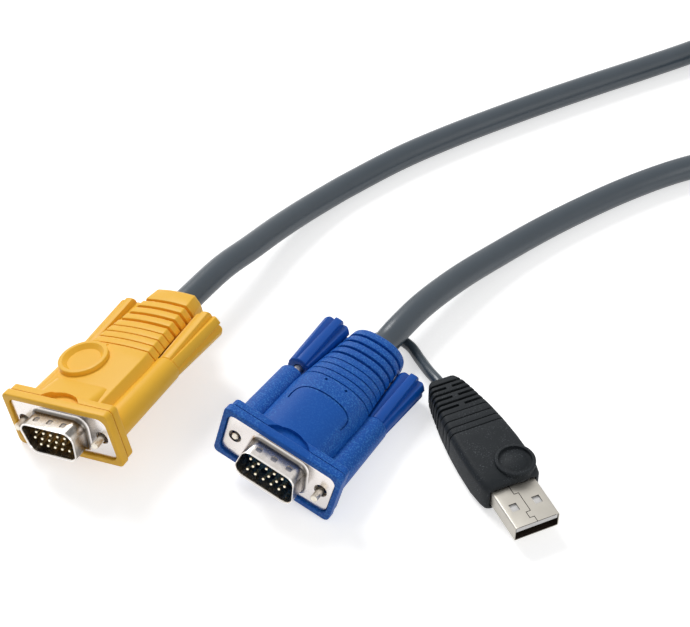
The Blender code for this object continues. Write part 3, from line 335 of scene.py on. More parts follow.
# The last number sets how strong the painted dark reflection on each drawn D is.
BLUE_FRONT = front_metal("blue_plug_nickel", BLUE, 0.05)
YELLOW_FRONT = front_metal("yellow_plug_nickel", YELLOW, 0.40)
USB_PLATE = usb_metal()
STEEL = plated("steel", (0.86, 0.80, 0.70), 0.30, (0.62, 0.56, 0.46))
GOLD = plated("gold_contact", (0.95, 0.88, 0.70), 0.18, (0.85, 0.74, 0.50))
NAVY = moulded("navy_insulator", (0.008, 0.060, 0.150), 0.55)
BROWN = moulded("brown_insulator", (0.42, 0.23, 0.04), 0.55)
WHITE = moulded("white_plastic", (0.82, 0.81, 0.80), 0.45)
NATURAL = moulded("natural_mould", (0.60, 0.59, 0.55), 0.55)
STRAP = woven_strap()


# Camera, table and light

VIEW_FROM = Vector((17.3, -296.38, 327.25)) * MM
VIEW_TO = Vector((17.3, 42.5, 0.0)) * MM
LENS = 90.26
ROOM_LIGHT = 0.34
TABLE_GLOW = 0.56


def deselect():
    for piece in bpy.context.selected_objects:
        piece.select_set(False)


def make_camera():
    deselect()
    turn = (VIEW_TO - VIEW_FROM).to_track_quat("-Z", "Y").to_euler()
    bpy.ops.object.camera_add(location=VIEW_FROM, rotation=turn)
    camera = bpy.context.active_object
    camera.data.lens = LENS
    camera.data.sensor_width = 36
    camera.data.clip_start = 0.01
    bpy.context.scene.camera = camera
    bpy.context.scene.view_settings.view_transform = "Standard"


def make_lamp(name, place, size, power):
    """A soft lamp that points at the middle of the table."""
    turn = (Vector((0.02, 0.03, 0)) - Vector(place)).to_track_quat("-Z", "Y").to_euler()
    bpy.ops.object.light_add(type="AREA", location=place, rotation=turn)
    lamp = bpy.context.active_object
    lamp.name = name
    lamp.data.shape = "RECTANGLE"
    lamp.data.size, lamp.data.size_y = size
    lamp.data.energy = power


def make_world():
    """A pale room: white to the camera and in reflections, dimmer as light."""
    world = bpy.data.worlds.new("pale_room")
    world.use_nodes = True
    room = Nodes(world.node_tree)
    strength = room.looked_at() * (1 - ROOM_LIGHT) + ROOM_LIGHT
    walls = room.add("ShaderNodeBackground", None, {"Color": (1, 1, 1), "Strength": strength})
    room.add("ShaderNodeOutputWorld", None, {"Surface": walls})
    bpy.context.scene.world = world


def make_table():
    """A white sheet that comes out white where no shadow falls."""
    deselect()
    bpy.ops.mesh.primitive_plane_add(size=6)
    sheet = bpy.context.active_object
    sheet.name = "table_sheet"
    finish = Finish("table_white", (0.80, 0.80, 0.80), 0.6)
    paper = finish.grain(40 * MM, 2.0)
    finish.set(**{"Base Color": finish.blend(paper, (0.80, 0.80, 0.80), (0.82, 0.82, 0.82))})
    glow = finish.add("ShaderNodeEmission", None, {"Strength": finish.looked_at() * TABLE_GLOW})
    both = finish.add("ShaderNodeAddShader", None, {0: finish.skin, 1: glow})
    finish.plug(finish.output.inputs["Surface"], both)
    sheet.data.materials.append(finish.material)


make_camera()
make_world()
make_table()
make_lamp("key_lamp", (-0.40, 0.62, 0.72), (0.42, 0.42), 6.5)
make_lamp("front_lamp", (0.6, -0.6, 0.6), (0.8, 0.6), 2.4)

# Cords

CORD_DIAMETER = 7.2 * MM
LEAD_DIAMETER = 3.0 * MM
LEAD_EXIT_X = -4.6
LEAD_EXIT_Z = -3.3
BLUE_LENGTH = 49.8
YELLOW_LENGTH = 52.2
BOOT_LENGTH = 39.0
TOUCH_GAP = 0.3
STRAIGHT_EXIT = 4.0
LEAD_STRAIGHT = 2.0
BLUE_ROUTE = (
    (32.0, 30.4, 6.95), (38.8, 39.4, 6.9), (48.8, 51.0, 5.6), (60.5, 62.4, 4.2), (72.6, 72.6, 3.7),
    (84.8, 81.5, 3.6), (97.2, 89.6, 3.6), (109.7, 96.6, 3.6), (120.3, 101.3, 3.6), (131.7, 104.9, 3.6),
    (142.2, 106.1, 3.6), (149.2, 105.5, 3.6),
)
YELLOW_ROUTE = (
    (-16.1, 50.3, 9.7), (-8.9, 60.1, 8.2), (-2.4, 69.5, 6.5), (4.5, 78.4, 5.0), (11.5, 86.2, 4.0),
    (18.8, 93.2, 3.6), (33.6, 105.2, 3.6), (48.9, 115.5, 3.6), (64.6, 124.9, 3.6), (80.6, 133.9, 3.6),
    (96.7, 142.5, 3.6), (113.1, 151.0, 3.6), (129.7, 159.6, 4.0), (144.5, 168.1, 5.2),
)
LEAD_ROUTE = (
    (24.3, 28.6, 3.5), (27.7, 31.3, 2.25), (31.6, 31.1, 1.6), (34.8, 28.1, 1.55), (37.1, 22.9, 2.0),
    (39.2, 16.9, 3.7),
)
COIL_CENTRE = Vector((191.5, 139.5, 0.0)) * MM
COIL_OUTER_TURN = 49.0 * MM
COIL_START = -116
COIL_END = 120 + 5 * 360
COIL_STEP = 12


def curve_through(points, steps=8):
    """Points along a smooth curve through the given ones."""
    ends = [2 * points[0] - points[1], *points, 2 * points[-1] - points[-2]]
    smooth = []
    for before, start, end, after in zip(ends, ends[1:], ends[2:], ends[3:]):
        for k in range(steps):
            t = k / steps
            smooth.append(0.5 * (2 * start + (end - before) * t
                                 + (2 * before - 5 * start + 4 * end - after) * t ** 2
                                 + (3 * start - before - 3 * end + after) * t ** 3))
    smooth.append(points[-1])
    return smooth


def coil_points():
    """The wound length: it spirals in along the table, climbs, and spirals out on top of itself."""
    middle = (COIL_START + COIL_END) / 2
    low = CORD_DIAMETER / 2
    points = []
    for angle in range(COIL_START, COIL_END + 1, COIL_STEP):
        turns = (middle - COIL_START - abs(angle - middle)) / 360
        radius = COIL_OUTER_TURN - CORD_DIAMETER * turns
        climb = min(1.0, max(0.0, (angle - middle + 60) / 120))
        height = low + CORD_DIAMETER * climb * climb * (3 - 2 * climb)
        turn = math.radians(angle)
        points.append(COIL_CENTRE + Vector((radius * math.cos(turn), radius * math.sin(turn), height)))
    return points


def tube(name, points, diameter, sides=8):
    """A round cord along the points."""
    curve = bpy.data.curves.new(name, "CURVE")
    curve.dimensions = "3D"
    curve.bevel_depth = diameter / 2
    curve.bevel_resolution = sides
    curve.use_fill_caps = True
    line = curve.splines.new("POLY")
    line.points.add(len(points) - 1)
    for spot, point in zip(line.points, points):
        spot.co = (*point, 1.0)
    piece = bpy.data.objects.new(name, curve)
    bpy.context.scene.collection.objects.link(piece)
    return piece


def make_main_cord():
    """The long cord, from inside the blue hood's end, through the coil, to the yellow hood's end."""
    leaving = [BLUE.at(0, BLUE_LENGTH + run, 0) for run in (-TOUCH_GAP, STRAIGHT_EXIT)]
    arriving = [YELLOW.at(0, YELLOW_LENGTH + run, 0) for run in (STRAIGHT_EXIT, -TOUCH_GAP)]
    out = [Vector(point) * MM for point in BLUE_ROUTE]
    back = [Vector(point) * MM for point in reversed(YELLOW_ROUTE)]
    points = curve_through([*leaving, *out, *coil_points(), *back, *arriving], 6)
    cord = tube("long_cord", points, CORD_DIAMETER)
    cord.data.materials.append(CORD_SKIN.material)
    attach(cord, "cable")
    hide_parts("cord_blue_side", "cord_coil", "cord_yellow_side")


def make_usb_lead():
    """The thin lead from the blue hood's end, under the long cord, to the boot."""
    leaving = [BLUE.at(LEAD_EXIT_X, BLUE_LENGTH + run, LEAD_EXIT_Z) for run in (-TOUCH_GAP, LEAD_STRAIGHT)]
    arriving = [USB.at(0, BOOT_LENGTH + run, 0) for run in (LEAD_STRAIGHT, -TOUCH_GAP)]
    points = curve_through([*leaving, *[Vector(point) * MM for point in LEAD_ROUTE], *arriving])
    lead = tube("usb_lead_cord", points, LEAD_DIAMETER)
    lead.data.materials.append(CORD_SKIN.material)
    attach(lead, "cable")
    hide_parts("usb_lead")
    length = sum((b - a).length for a, b in zip(points, points[1:]))


make_main_cord()
make_usb_lead()

# Shaping by hand


def begin(name):
    """Name the primitive that was just added, and put its place into its mesh."""
    piece = bpy.context.active_object
    piece.name = name
    bpy.ops.object.transform_apply(location=True, rotation=True, scale=True)
    return piece


def block(name, low, high):
    """A block between two opposite corners."""
    deselect()
    low = Vector(low)
    high = Vector(high)
    bpy.ops.mesh.primitive_cube_add(size=1, location=(low + high) / 2, scale=high - low)
    return begin(name)


def rod(name, place, length, radius, end_radius=None, upright=False, sides=48):
    """A round bar that starts at a place and runs back, or up."""
    deselect()
    middle = Vector(place) + Vector((0, 0, length / 2) if upright else (0, length / 2, 0))
    turn = (0, 0, 0) if upright else (-math.pi / 2, 0, 0)
    bpy.ops.mesh.primitive_cone_add(vertices=sides, radius1=radius, radius2=end_radius or radius,
                                    depth=length, location=middle, rotation=turn)
    return begin(name)


def pick(piece, kind, test):
    """Open a piece and select its faces, edges or corners that pass the test."""
    deselect()
    piece.select_set(True)
    bpy.context.view_layer.objects.active = piece
    bpy.ops.object.mode_set(mode="EDIT")
    bpy.ops.mesh.select_mode(type=kind)
    bpy.ops.mesh.select_all(action="DESELECT")
    shape = bmesh.from_edit_mesh(piece.data)
    for part in {"FACE": shape.faces, "EDGE": shape.edges, "VERT": shape.verts}[kind]:
        if test(part):
            part.select_set(True)
    shape.select_flush_mode()
    bmesh.update_edit_mesh(piece.data)


def close():
    bpy.ops.object.mode_set(mode="OBJECT")


def middle_of(edge):
    return (edge.verts[0].co + edge.verts[1].co) / 2


def along(edge, axis):
    """Whether an edge runs along an axis."""
    run = edge.verts[1].co - edge.verts[0].co
    return abs(run[axis]) > 0.99 * run.length


def round_edges(piece, test, width, segments=3):
    pick(piece, "EDGE", test)
    bpy.ops.mesh.bevel(offset=width, offset_type="OFFSET", segments=segments, affect="EDGES")
    close()


def outline_face(name, y, outline):
    """A flat face across the plug, whose corners are moved one by one to an outline."""
    deselect()
    bpy.ops.mesh.primitive_circle_add(vertices=len(outline), radius=1, fill_type="NGON", location=(0, y, 0),
                                      rotation=(math.pi / 2, 0, 0))
    piece = begin(name)
    for i, (x, z) in enumerate(outline):
        pick(piece, "VERT", lambda corner: corner.index == i)
        start = bmesh.from_edit_mesh(piece.data).verts
        start.ensure_lookup_table()
        bpy.ops.transform.translate(value=Vector((x, y, z)) - start[i].co)
        close()
    return piece


def draw_out(piece, stations):
    """Pull the face back to each station: its place, and its width and height as shares of the first."""
    pick(piece, "FACE", lambda face: True)
    y = bmesh.from_edit_mesh(piece.data).faces[:][0].calc_center_median().y
    width = height = 1.0
    for new_y, new_width, new_height in stations:
        bpy.ops.mesh.extrude_region_move(TRANSFORM_OT_translate={"value": (0, new_y - y, 0)})
        bpy.ops.transform.resize(value=(new_width / width, 1, new_height / height),
                                 center_override=(0, new_y, 0))
        y, width, height = new_y, new_width, new_height
    bpy.ops.mesh.select_all(action="SELECT")
    bpy.ops.mesh.normals_make_consistent(inside=False)
    close()
    return piece


def move(piece, x, y, z):
    piece.data.transform(Matrix.Translation((x, y, z)))
    return piece


def combine(piece, operation, *tools):
    """Join tools to a piece, or cut them from it."""
    for tool in tools:
        deselect()
        step = piece.modifiers.new("step", "BOOLEAN")
        step.operation = operation
        step.solver = "EXACT"
        step.object = tool
        bpy.context.view_layer.objects.active = piece
        bpy.ops.object.modifier_apply(modifier="step")
        bpy.data.objects.remove(tool)
    return piece


def join(piece, *tools):
    return combine(piece, "UNION", *tools)


def cut(piece, *tools):
    return combine(piece, "DIFFERENCE", *tools)


def soften(piece, width, angle=35, segments=2):
    """Break the sharp edges all over."""
    deselect()
    bpy.context.view_layer.objects.active = piece
    step = piece.modifiers.new("soften", "BEVEL")
    step.width = width
    step.segments = segments
    step.limit_method = "ANGLE"
    step.angle_limit = math.radians(angle)
    step.harden_normals = False
    bpy.ops.object.modifier_apply(modifier="soften")
    return piece


def copy_of(piece, name):
    twin = piece.copy()
    twin.data = piece.data.copy()
    twin.name = name
    bpy.context.scene.collection.objects.link(twin)
    return twin


def settle(piece, lay, finish, slot, body, *nodes, smooth=35):
    """Lay a piece in its plug, give it its finish, and let it take the place of its solids."""
    piece.data.transform(lay.matrix)
    deselect()
    piece.select_set(True)
    bpy.context.view_layer.objects.active = piece
    bpy.ops.object.shade_smooth_by_angle(angle=math.radians(smooth))
    piece.data.materials.clear()
    piece.data.materials.append(finish.material)
    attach(piece, body)
    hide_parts(*nodes)


# Outlines across a plug, anticlockwise from the top

SHELL_WIDTH = 17.8
SHELL_HEIGHT = 9.2
SHELL_CORNER = 2.6
SHELL_SLANT = 10


def rounded(corners, steps=4):
    """Round the corners of an outline; each is x, z and its radius."""
    points = []
    for i, (x, z, radius) in enumerate(corners):
        corner = Vector((x, z))
        before = (Vector(corners[i - 1][:2]) - corner).normalized()
        after = (Vector(corners[(i + 1) % len(corners)][:2]) - corner).normalized()
        half = before.angle(after) / 2
        centre = corner + (before + after).normalized() * (radius / math.sin(half))
        start = corner + before * (radius / math.tan(half)) - centre
        for k in range(steps + 1):
            points.append(tuple(centre + Matrix.Rotation(k * (math.pi - 2 * half) / steps, 2) @ start))
    return points


def box_outline(width, height, radius, steps=6):
    x = width / 2
    z = height / 2
    return rounded(((-x, z, radius), (-x, -z, radius), (x, -z, radius), (x, z, radius)), steps)


def oval_outline(width, height, power, steps=64):
    """A rounded oval: power 2 is an ellipse, and more is squarer."""
    points = []
    for i in range(steps):
        turn = 2 * math.pi * i / steps
        s = -math.sin(turn)
        c = math.cos(turn)
        points.append((math.copysign(abs(s) ** (2 / power), s) * width / 2,
                       math.copysign(abs(c) ** (2 / power), c) * height / 2))
    return points


def shell_outline(growth, wide_side_up):
    """The D of a video plug's shell."""
    wide = SHELL_WIDTH / 2 + growth
    z = SHELL_HEIGHT / 2 + growth
    narrow = wide - 2 * z * math.tan(math.radians(SHELL_SLANT))
    top, bottom = (wide, narrow) if wide_side_up else (narrow, wide)
    radius = SHELL_CORNER + growth
    return rounded(((-top, z, radius), (-bottom, -z, radius), (bottom, -z, radius), (top, z, radius)), 8)


# Hoods

SCREW_X = 12.5
LIP_WIDTH = 34.0
LIP_HEIGHT = 16.2
LIP_FRONT = -0.6
LIP_BACK = 1.8
SLAB_BACK = 4.4
SLAB_INSET = 0.4
BARREL_FRONT = 1.2
PLATE_WIDTH = 30.8
PLATE_HEIGHT = 12.5
RECESS_BACK = 1.7
INNER_BACK = 21.3
TUBE_RADIUS = 3.9
TUBE_REAR_RADIUS = 3.5
BORE_RADIUS = 1.65
GRIP_LENGTH = 19.7
GRIP_FRONT_RADIUS = 3.3
GRIP_REAR_RADIUS = 4.25
GRIP_ROOM = 0.35
TAPER_START = 23.0
BLUE_TUBE_REAR = 26.2
YELLOW_TUBE_REAR = 27.9
FINE_GROOVES = (26.6, 29.15, 31.7, 34.25)
DEEP_GROOVES = (37.2, 40.3, 43.4, 46.5)
SCALLOP_RADIUS = 7.7
SCALLOP_BACK = 5.1
BLUE_POCKET_FLOOR = 6.45
YELLOW_POCKET_FLOOR = 6.0
RAMP_HALF_WIDTH = 9.2
RAMP_FOOT = 4.9
RAMP_TOP = 7.5
RAMP_REAR = 10.5
RAMP_DROP = 1.1
BADGE_X = -5.3
BADGE_Y = 18.5
BADGE_FOOT = 4.9
BADGE_TOP = 7.5
BADGE_RADIUS = 6.6
ENGRAVING_SINK = 0.3
ENGRAVING_RADIUS = 0.38


def groove(y, half, depth, lip):
    """(place, depth) pairs of one groove with rounded edges."""
    return [(y - half - lip, 0.0), (y - half - lip * 0.4, lip * 0.15), (y - half, lip * 0.55),
            (y - half, depth), (y + half, depth), (y + half, lip * 0.55),
            (y + half + lip * 0.4, lip * 0.15), (y + half + lip, 0.0)]


def barrel_stations(size_at, length):
    """Places and depths along a ribbed barrel, as shares of its first section."""
    steps = [(9.0, 0.0), (16.0, 0.0), (20.0, 0.0), (TAPER_START, 0.0)]
    for y in FINE_GROOVES:
        steps += groove(y, 0.17, 0.45, 0.18)
    for y in DEEP_GROOVES:
        steps += groove(y, 0.45, 1.15, 0.32)
    steps += [(length - 0.9, 0.0), (length - 0.45, 0.14), (length - 0.12, 0.45), (length, 0.85)]
    start_width, start_height = size_at(0)
    stations = []
    last = BARREL_FRONT
    for y, depth in steps:
        y = max(y, last + 0.001)
        last = y
        width, height = size_at(y)
        stations.append((y, (width - 2 * depth) / start_width, (height - 2 * depth) / start_height))
    return stations


def taper(y, length, start, end):
    share = max(0.0, (y - TAPER_START) / (length - TAPER_START))
    return start + (end - start) * share


def blue_size(y):
    return taper(y, BLUE_LENGTH, 21.4, 15.8), taper(y, BLUE_LENGTH, 15.0, 11.4)


def yellow_size(y):
    return taper(y, YELLOW_LENGTH, 23.0, 14.4), taper(y, YELLOW_LENGTH, 13.4, 11.0)


def blue_barrel():
    start = oval_outline(*blue_size(0), 2.4, 72)
    face = outline_face("blue_hood_moulding", BARREL_FRONT, start)
    return draw_out(face, barrel_stations(blue_size, BLUE_LENGTH))


def yellow_barrel():
    """Crowned top, slanted flanks and short upright sides, with a ramp behind the lip."""
    right = ((0.0, -6.7, 85.0), (9.7, -5.8, 0.6), (11.5, -2.7, 2.0), (11.5, 2.7, 2.0), (9.7, 5.8, 0.6))
    left = ((0.0, 6.7, 85.0), (-9.7, 5.8, 0.6), (-11.5, 2.7, 2.0), (-11.5, -2.7, 2.0), (-9.7, -5.8, 0.6))
    start = rounded((*left, *right), 5)
    face = outline_face("yellow_hood_moulding", BARREL_FRONT, start)
    barrel = draw_out(face, barrel_stations(yellow_size, YELLOW_LENGTH))
    ramp = block("ramp", (-RAMP_HALF_WIDTH, 3.0, RAMP_FOOT), (RAMP_HALF_WIDTH, RAMP_REAR, RAMP_TOP))
    round_edges(ramp, lambda edge: along(edge, 1) and middle_of(edge).z > RAMP_TOP - 0.1, 2.5, 8)
    pick(ramp, "EDGE", lambda edge: not along(edge, 1) and middle_of(edge).z > RAMP_FOOT + 0.05
         and middle_of(edge).y > RAMP_REAR - 0.1)
    bpy.ops.transform.translate(value=(0, 0, -RAMP_DROP))
    close()
    return join(barrel, ramp)


def lip_and_slab():
    """The rim around the face plate, and the slab behind it, with a fine dark groove between them."""
    x = LIP_WIDTH / 2
    z = LIP_HEIGHT / 2
    lip = block("lip", (-x, LIP_FRONT, -z), (x, LIP_BACK, z))
    round_edges(lip, lambda edge: along(edge, 1), 1.5, 6)
    round_edges(lip, lambda edge: not along(edge, 1)
                and abs(middle_of(edge).y - edge.verts[0].co.y) < 0.01, 0.35, 3)
    neck = block("neck", (-x + 1.1, 1.0, -z + 1.1), (x - 1.1, 3.0, z - 1.1))
    x -= SLAB_INSET
    z -= SLAB_INSET
    slab = block("slab", (-x, LIP_BACK + 0.35, -z), (x, SLAB_BACK, z))
    round_edges(slab, lambda edge: along(edge, 1), 1.3, 6)
    round_edges(slab, lambda edge: not along(edge, 1) and middle_of(edge).y > SLAB_BACK - 0.01, 0.6, 3)
    return join(lip, neck, slab)


def grip_room(side, tube_rear, length):
    """What the flaring grips need beside the barrel, pushed in or drawn back."""
    radius = GRIP_REAR_RADIUS + GRIP_ROOM
    room = rod("room", (side * SCREW_X, tube_rear, 0), GRIP_LENGTH, GRIP_FRONT_RADIUS + GRIP_ROOM, radius,
               sides=64)
    tail = rod("tail", (side * SCREW_X, tube_rear + GRIP_LENGTH - 0.01, 0), length, radius, sides=64)
    return room, tail


def make_hood(barrel, tube_rear, length, pocket_floor):
    """Join the barrel, slab and screw tubes into one moulding, and open it for the metal parts."""
    for side in (-1, 1):
        tube_length = tube_rear + TOUCH_GAP - LIP_BACK
        screw_tube = rod("tube", (side * SCREW_X, LIP_BACK, 0), tube_length, TUBE_RADIUS, TUBE_REAR_RADIUS,
                         sides=64)
        rear = tube_rear + TOUCH_GAP - 0.01
        round_edges(screw_tube, lambda edge: middle_of(edge).y > rear, 0.45, 4)
        cut(barrel, *grip_room(side, tube_rear, length))
        join(barrel, screw_tube)
    join(barrel, lip_and_slab())
    for low, high in ((pocket_floor, 12.0), (-12.0, -pocket_floor)):
        place = (0, SCALLOP_BACK - SCALLOP_RADIUS, low)
        pocket = rod("pocket", place, high - low, SCALLOP_RADIUS, upright=True, sides=96)
        keep = block("keep", (-9, -20, -13), (9, RECESS_BACK + 0.3, 13))
        cut(pocket, keep)
        cut(barrel, pocket)
    x = PLATE_WIDTH / 2 + TOUCH_GAP
    z = PLATE_HEIGHT / 2 + TOUCH_GAP
    recess = block("recess", (-x, -3, -z), (x, RECESS_BACK, z))
    round_edges(recess, lambda edge: along(edge, 1), 2.3, 6)
    inside = block("inside", (-9.5, 0, -4.9), (9.5, INNER_BACK, 4.9))
    round_edges(inside, lambda edge: along(edge, 1), 1.6, 5)
    bores = [rod("bore", (side * SCREW_X, 0, 0), tube_rear + 4, BORE_RADIUS) for side in (-1, 1)]
    return cut(barrel, recess, inside, *bores)


def groove_cutter(points, radius):
    """A thin round line that is cut into a surface."""
    line = tube("engraving", [Vector(point) for point in points], 2 * radius, 3)
    deselect()
    line.select_set(True)
    bpy.context.view_layer.objects.active = line
    bpy.ops.object.convert(target="MESH")
    return bpy.context.active_object


def on_blue(x, y):
    """A place on the top of the blue barrel."""
    width, height = blue_size(y)
    return x, y, (1 - abs(2 * x / width) ** 2.4) ** (1 / 2.4) * height / 2


def make_blue_hood():
    hood = make_hood(blue_barrel(), BLUE_TUBE_REAR, BLUE_LENGTH, BLUE_POCKET_FLOOR)
    arch = [Vector(point) for point in (
        (-7.5, 14.6, 0), (-7.6, 16.6, 0), (-7.1, 18.8, 0), (-5.4, 20.1, 0), (-2.0, 20.6, 0), (2.1, 20.5, 0),
        (5.6, 19.9, 0), (7.4, 18.6, 0), (7.7, 16.6, 0), (7.6, 14.6, 0))]
    sunk = Vector((0, 0, -ENGRAVING_SINK))
    line = [Vector(on_blue(point.x, point.y)) + sunk for point in curve_through(arch, 6)]
    cut(hood, groove_cutter(line, ENGRAVING_RADIUS))
    for x in (-3.2, 2.6):
        deselect()
        bpy.ops.mesh.primitive_uv_sphere_add(segments=20, ring_count=10, radius=0.5,
                                             location=Vector(on_blue(x, 25.2)) + sunk)
        cut(hood, begin("dot"))
    settle(hood, BLUE, BLUE_SKIN, "blue_plastic", "cable", "blue_hood", smooth=30)


def make_yellow_hood():
    hood = make_hood(yellow_barrel(), YELLOW_TUBE_REAR, YELLOW_LENGTH, YELLOW_POCKET_FLOOR)
    height = BADGE_TOP - BADGE_FOOT
    badge = rod("badge", (BADGE_X, BADGE_Y, BADGE_FOOT), height, BADGE_RADIUS, upright=True, sides=96)
    round_edges(badge, lambda edge: middle_of(edge).z > BADGE_TOP - 0.01, 0.3, 3)
    dish = rod("dish", (BADGE_X, BADGE_Y, BADGE_TOP - 1.1), 2.2, 4.4, BADGE_RADIUS, upright=True, sides=96)
    cut(badge, dish)
    join(hood, badge)
    deselect()
    bpy.ops.mesh.primitive_uv_sphere_add(segments=20, ring_count=10, radius=0.4, location=(-3.2, 25.7, 6.3))
    cut(hood, begin("dot"))
    settle(hood, YELLOW, YELLOW_SKIN, "yellow_plastic", "cable", "yellow_hood", smooth=30)


make_blue_hood()
make_yellow_hood()

# Metal fronts, insulators and pins

SHELL_REACH = 5.9
SHELL_WALL = 0.45
PLATE_THICKNESS = 0.6
PLATE_HOLE_RADIUS = 1.8
PIN_PITCH = 2.29
PIN_ROW_PITCH = 1.98
PIN_TIP = -5.1
PIN_BACK = 5.5
PIN_RADIUS = 0.4
KEY_PIN = 9


def shares(growth):
    """How a wall's growth changes the D's width and height."""
    return 1 + 2 * growth / SHELL_WIDTH, 1 + 2 * growth / SHELL_HEIGHT


def make_front_shell(colour, lay, wide_side_up, metal):
    """Face plate and D shell, drawn from one sheet: a flared foot, and a rolled front edge."""
    x = PLATE_WIDTH / 2
    z = PLATE_HEIGHT / 2
    plate = block(f"{colour}_face_plate", (-x, 0, -z), (x, PLATE_THICKNESS, z))
    round_edges(plate, lambda edge: along(edge, 1), 2.0, 6)
    round_edges(plate, lambda edge: not along(edge, 1) and middle_of(edge).y < 0.01, 0.12, 2)
    rim = outline_face("rim", -SHELL_REACH, shell_outline(0.0, wide_side_up))
    pick(rim, "FACE", lambda face: True)
    bpy.ops.transform.resize(value=(shares(-0.2)[0], 1, shares(-0.2)[1]), center_override=(0, 0, 0))
    close()
    base = shares(-0.2)
    profile = ((-5.82, -0.06), (-5.65, 0.0), (-1.3, 0.0), (-1.0, 0.03), (-0.75, 0.09), (-0.55, 0.18),
               (-0.38, 0.3), (-0.24, 0.46), (-0.12, 0.66), (0.1, 1.0))
    draw_out(rim, [(y, shares(g)[0] / base[0], shares(g)[1] / base[1]) for y, g in profile])
    opening = outline_face("opening", -2 * SHELL_REACH, shell_outline(0.0, wide_side_up))
    inner = ((-5.9, -0.05), (-5.8, -0.25), (-5.6, -0.39), (-5.3, -SHELL_WALL), (1.2, -SHELL_WALL))
    start = shares(0.0)
    draw_out(opening, [(y, shares(g)[0] / start[0], shares(g)[1] / start[1]) for y, g in inner])
    holes = [rod("hole", (side * SCREW_X, -1, 0), 3, PLATE_HOLE_RADIUS) for side in (-1, 1)]
    for i in (-1, 0, 1):
        for way in (-1, 1):
            low, high = sorted((way * (SHELL_HEIGHT / 2 - 0.22), way * SHELL_HEIGHT))
            dimple = block("dimple", (i * 4.3 - 0.8, -4.0, low), (i * 4.3 + 0.8, -2.4, high))
            round_edges(dimple, lambda edge: along(edge, 2), 0.4, 4)
            cut(rim, dimple)
    shell = cut(join(plate, rim), opening, *holes)
    settle(shell, lay, metal, "nickel", "cable", f"{colour}_front_shell", smooth=25)


def pin_places(wide_side_up):
    """Number and place of each of the 15 contacts, row by row from the wide side."""
    up = 1 if wide_side_up else -1
    places = []
    for row in range(3):
        stagger = (0.25 if row == 1 else -0.25) * PIN_PITCH * -up
        for i in range(5):
            x = up * (i - 2) * PIN_PITCH + stagger
            places.append((row * 5 + i + 1, x, up * (1 - row) * PIN_ROW_PITCH))
    return places


def make_pins(colour, lay, wide_side_up, missing):
    """One pin with a rounded tip, copied to every place."""
    first = rod("pin", (0, PIN_TIP, 0), PIN_BACK - PIN_TIP, PIN_RADIUS, sides=20)
    round_edges(first, lambda edge: middle_of(edge).y < PIN_TIP + 0.01, 0.34, 5)
    for number, x, z in pin_places(wide_side_up):
        if number == missing:
            continue
        pin = move(copy_of(first, f"{colour}_contact_{number:02d}"), x, 0, z)
        settle(pin, lay, GOLD, "gold_contact", "cable", f"{colour}_pin_{number:02d}", smooth=60)
    bpy.data.objects.remove(first)


def make_insulator(colour, lay, wide_side_up, finish, slot):
    """The plastic that holds the pins, with a hole round each of them."""
    outline = shell_outline(-SHELL_WALL - 0.2, wide_side_up)
    body = draw_out(outline_face(f"{colour}_pin_holder", -0.4, outline), [(5.2, 1, 1)])
    for number, x, z in pin_places(wide_side_up):
        cut(body, rod("hole", (x, -1, z), 8, 0.55, sides=20))
    settle(body, lay, finish, slot, "cable", f"{colour}_insulator")


for colour, lay, wide_side_up, missing, metal, finish, slot in (
    ("blue", BLUE, False, KEY_PIN, BLUE_FRONT, NAVY, "navy_insulator"),
    ("yellow", YELLOW, True, None, YELLOW_FRONT, BROWN, "brown_insulator"),
):
    make_front_shell(colour, lay, wide_side_up, metal)
    make_insulator(colour, lay, wide_side_up, finish, slot)
    make_pins(colour, lay, wide_side_up, missing)

# Screws and thumb grips

SCREW_NOSE = -3.4
PILOT_RADIUS = 0.95
PILOT_LENGTH = 6.4
THREAD_RADIUS = 1.4
THREAD_LENGTH = 5.0
THREAD_PITCH = 0.64
SHANK_RADIUS = 1.25
SHANK_IN_GRIP = 12.0
LEFT_DRAWN_BACK = 3.1
FLUTES = 6
FLUTE_FLOOR = 2.85
GRIP_SEAT = 0.05
GRIP_END_ROOM = 0.45


def one_screw(tube_rear):
    """A jackscrew: thin pilot, thread rings and plain shank."""
    thread = SCREW_NOSE + PILOT_LENGTH
    steps = [(SCREW_NOSE + 0.25, PILOT_RADIUS), (thread, PILOT_RADIUS)]
    turns = int(THREAD_LENGTH / THREAD_PITCH)
    for i in range(turns):
        y = thread + 0.2 + i * THREAD_PITCH
        steps += [(y, THREAD_RADIUS - 0.3), (y + 0.27, THREAD_RADIUS), (y + 0.35, THREAD_RADIUS)]
    rear = tube_rear + TOUCH_GAP + SHANK_IN_GRIP
    steps += [(thread + THREAD_LENGTH + 0.5, SHANK_RADIUS), (rear, SHANK_RADIUS)]
    start = 0.7
    screw = outline_face("screw", SCREW_NOSE, oval_outline(2 * start, 2 * start, 2, 28))
    return draw_out(screw, [(y, radius / start, radius / start) for y, radius in steps])


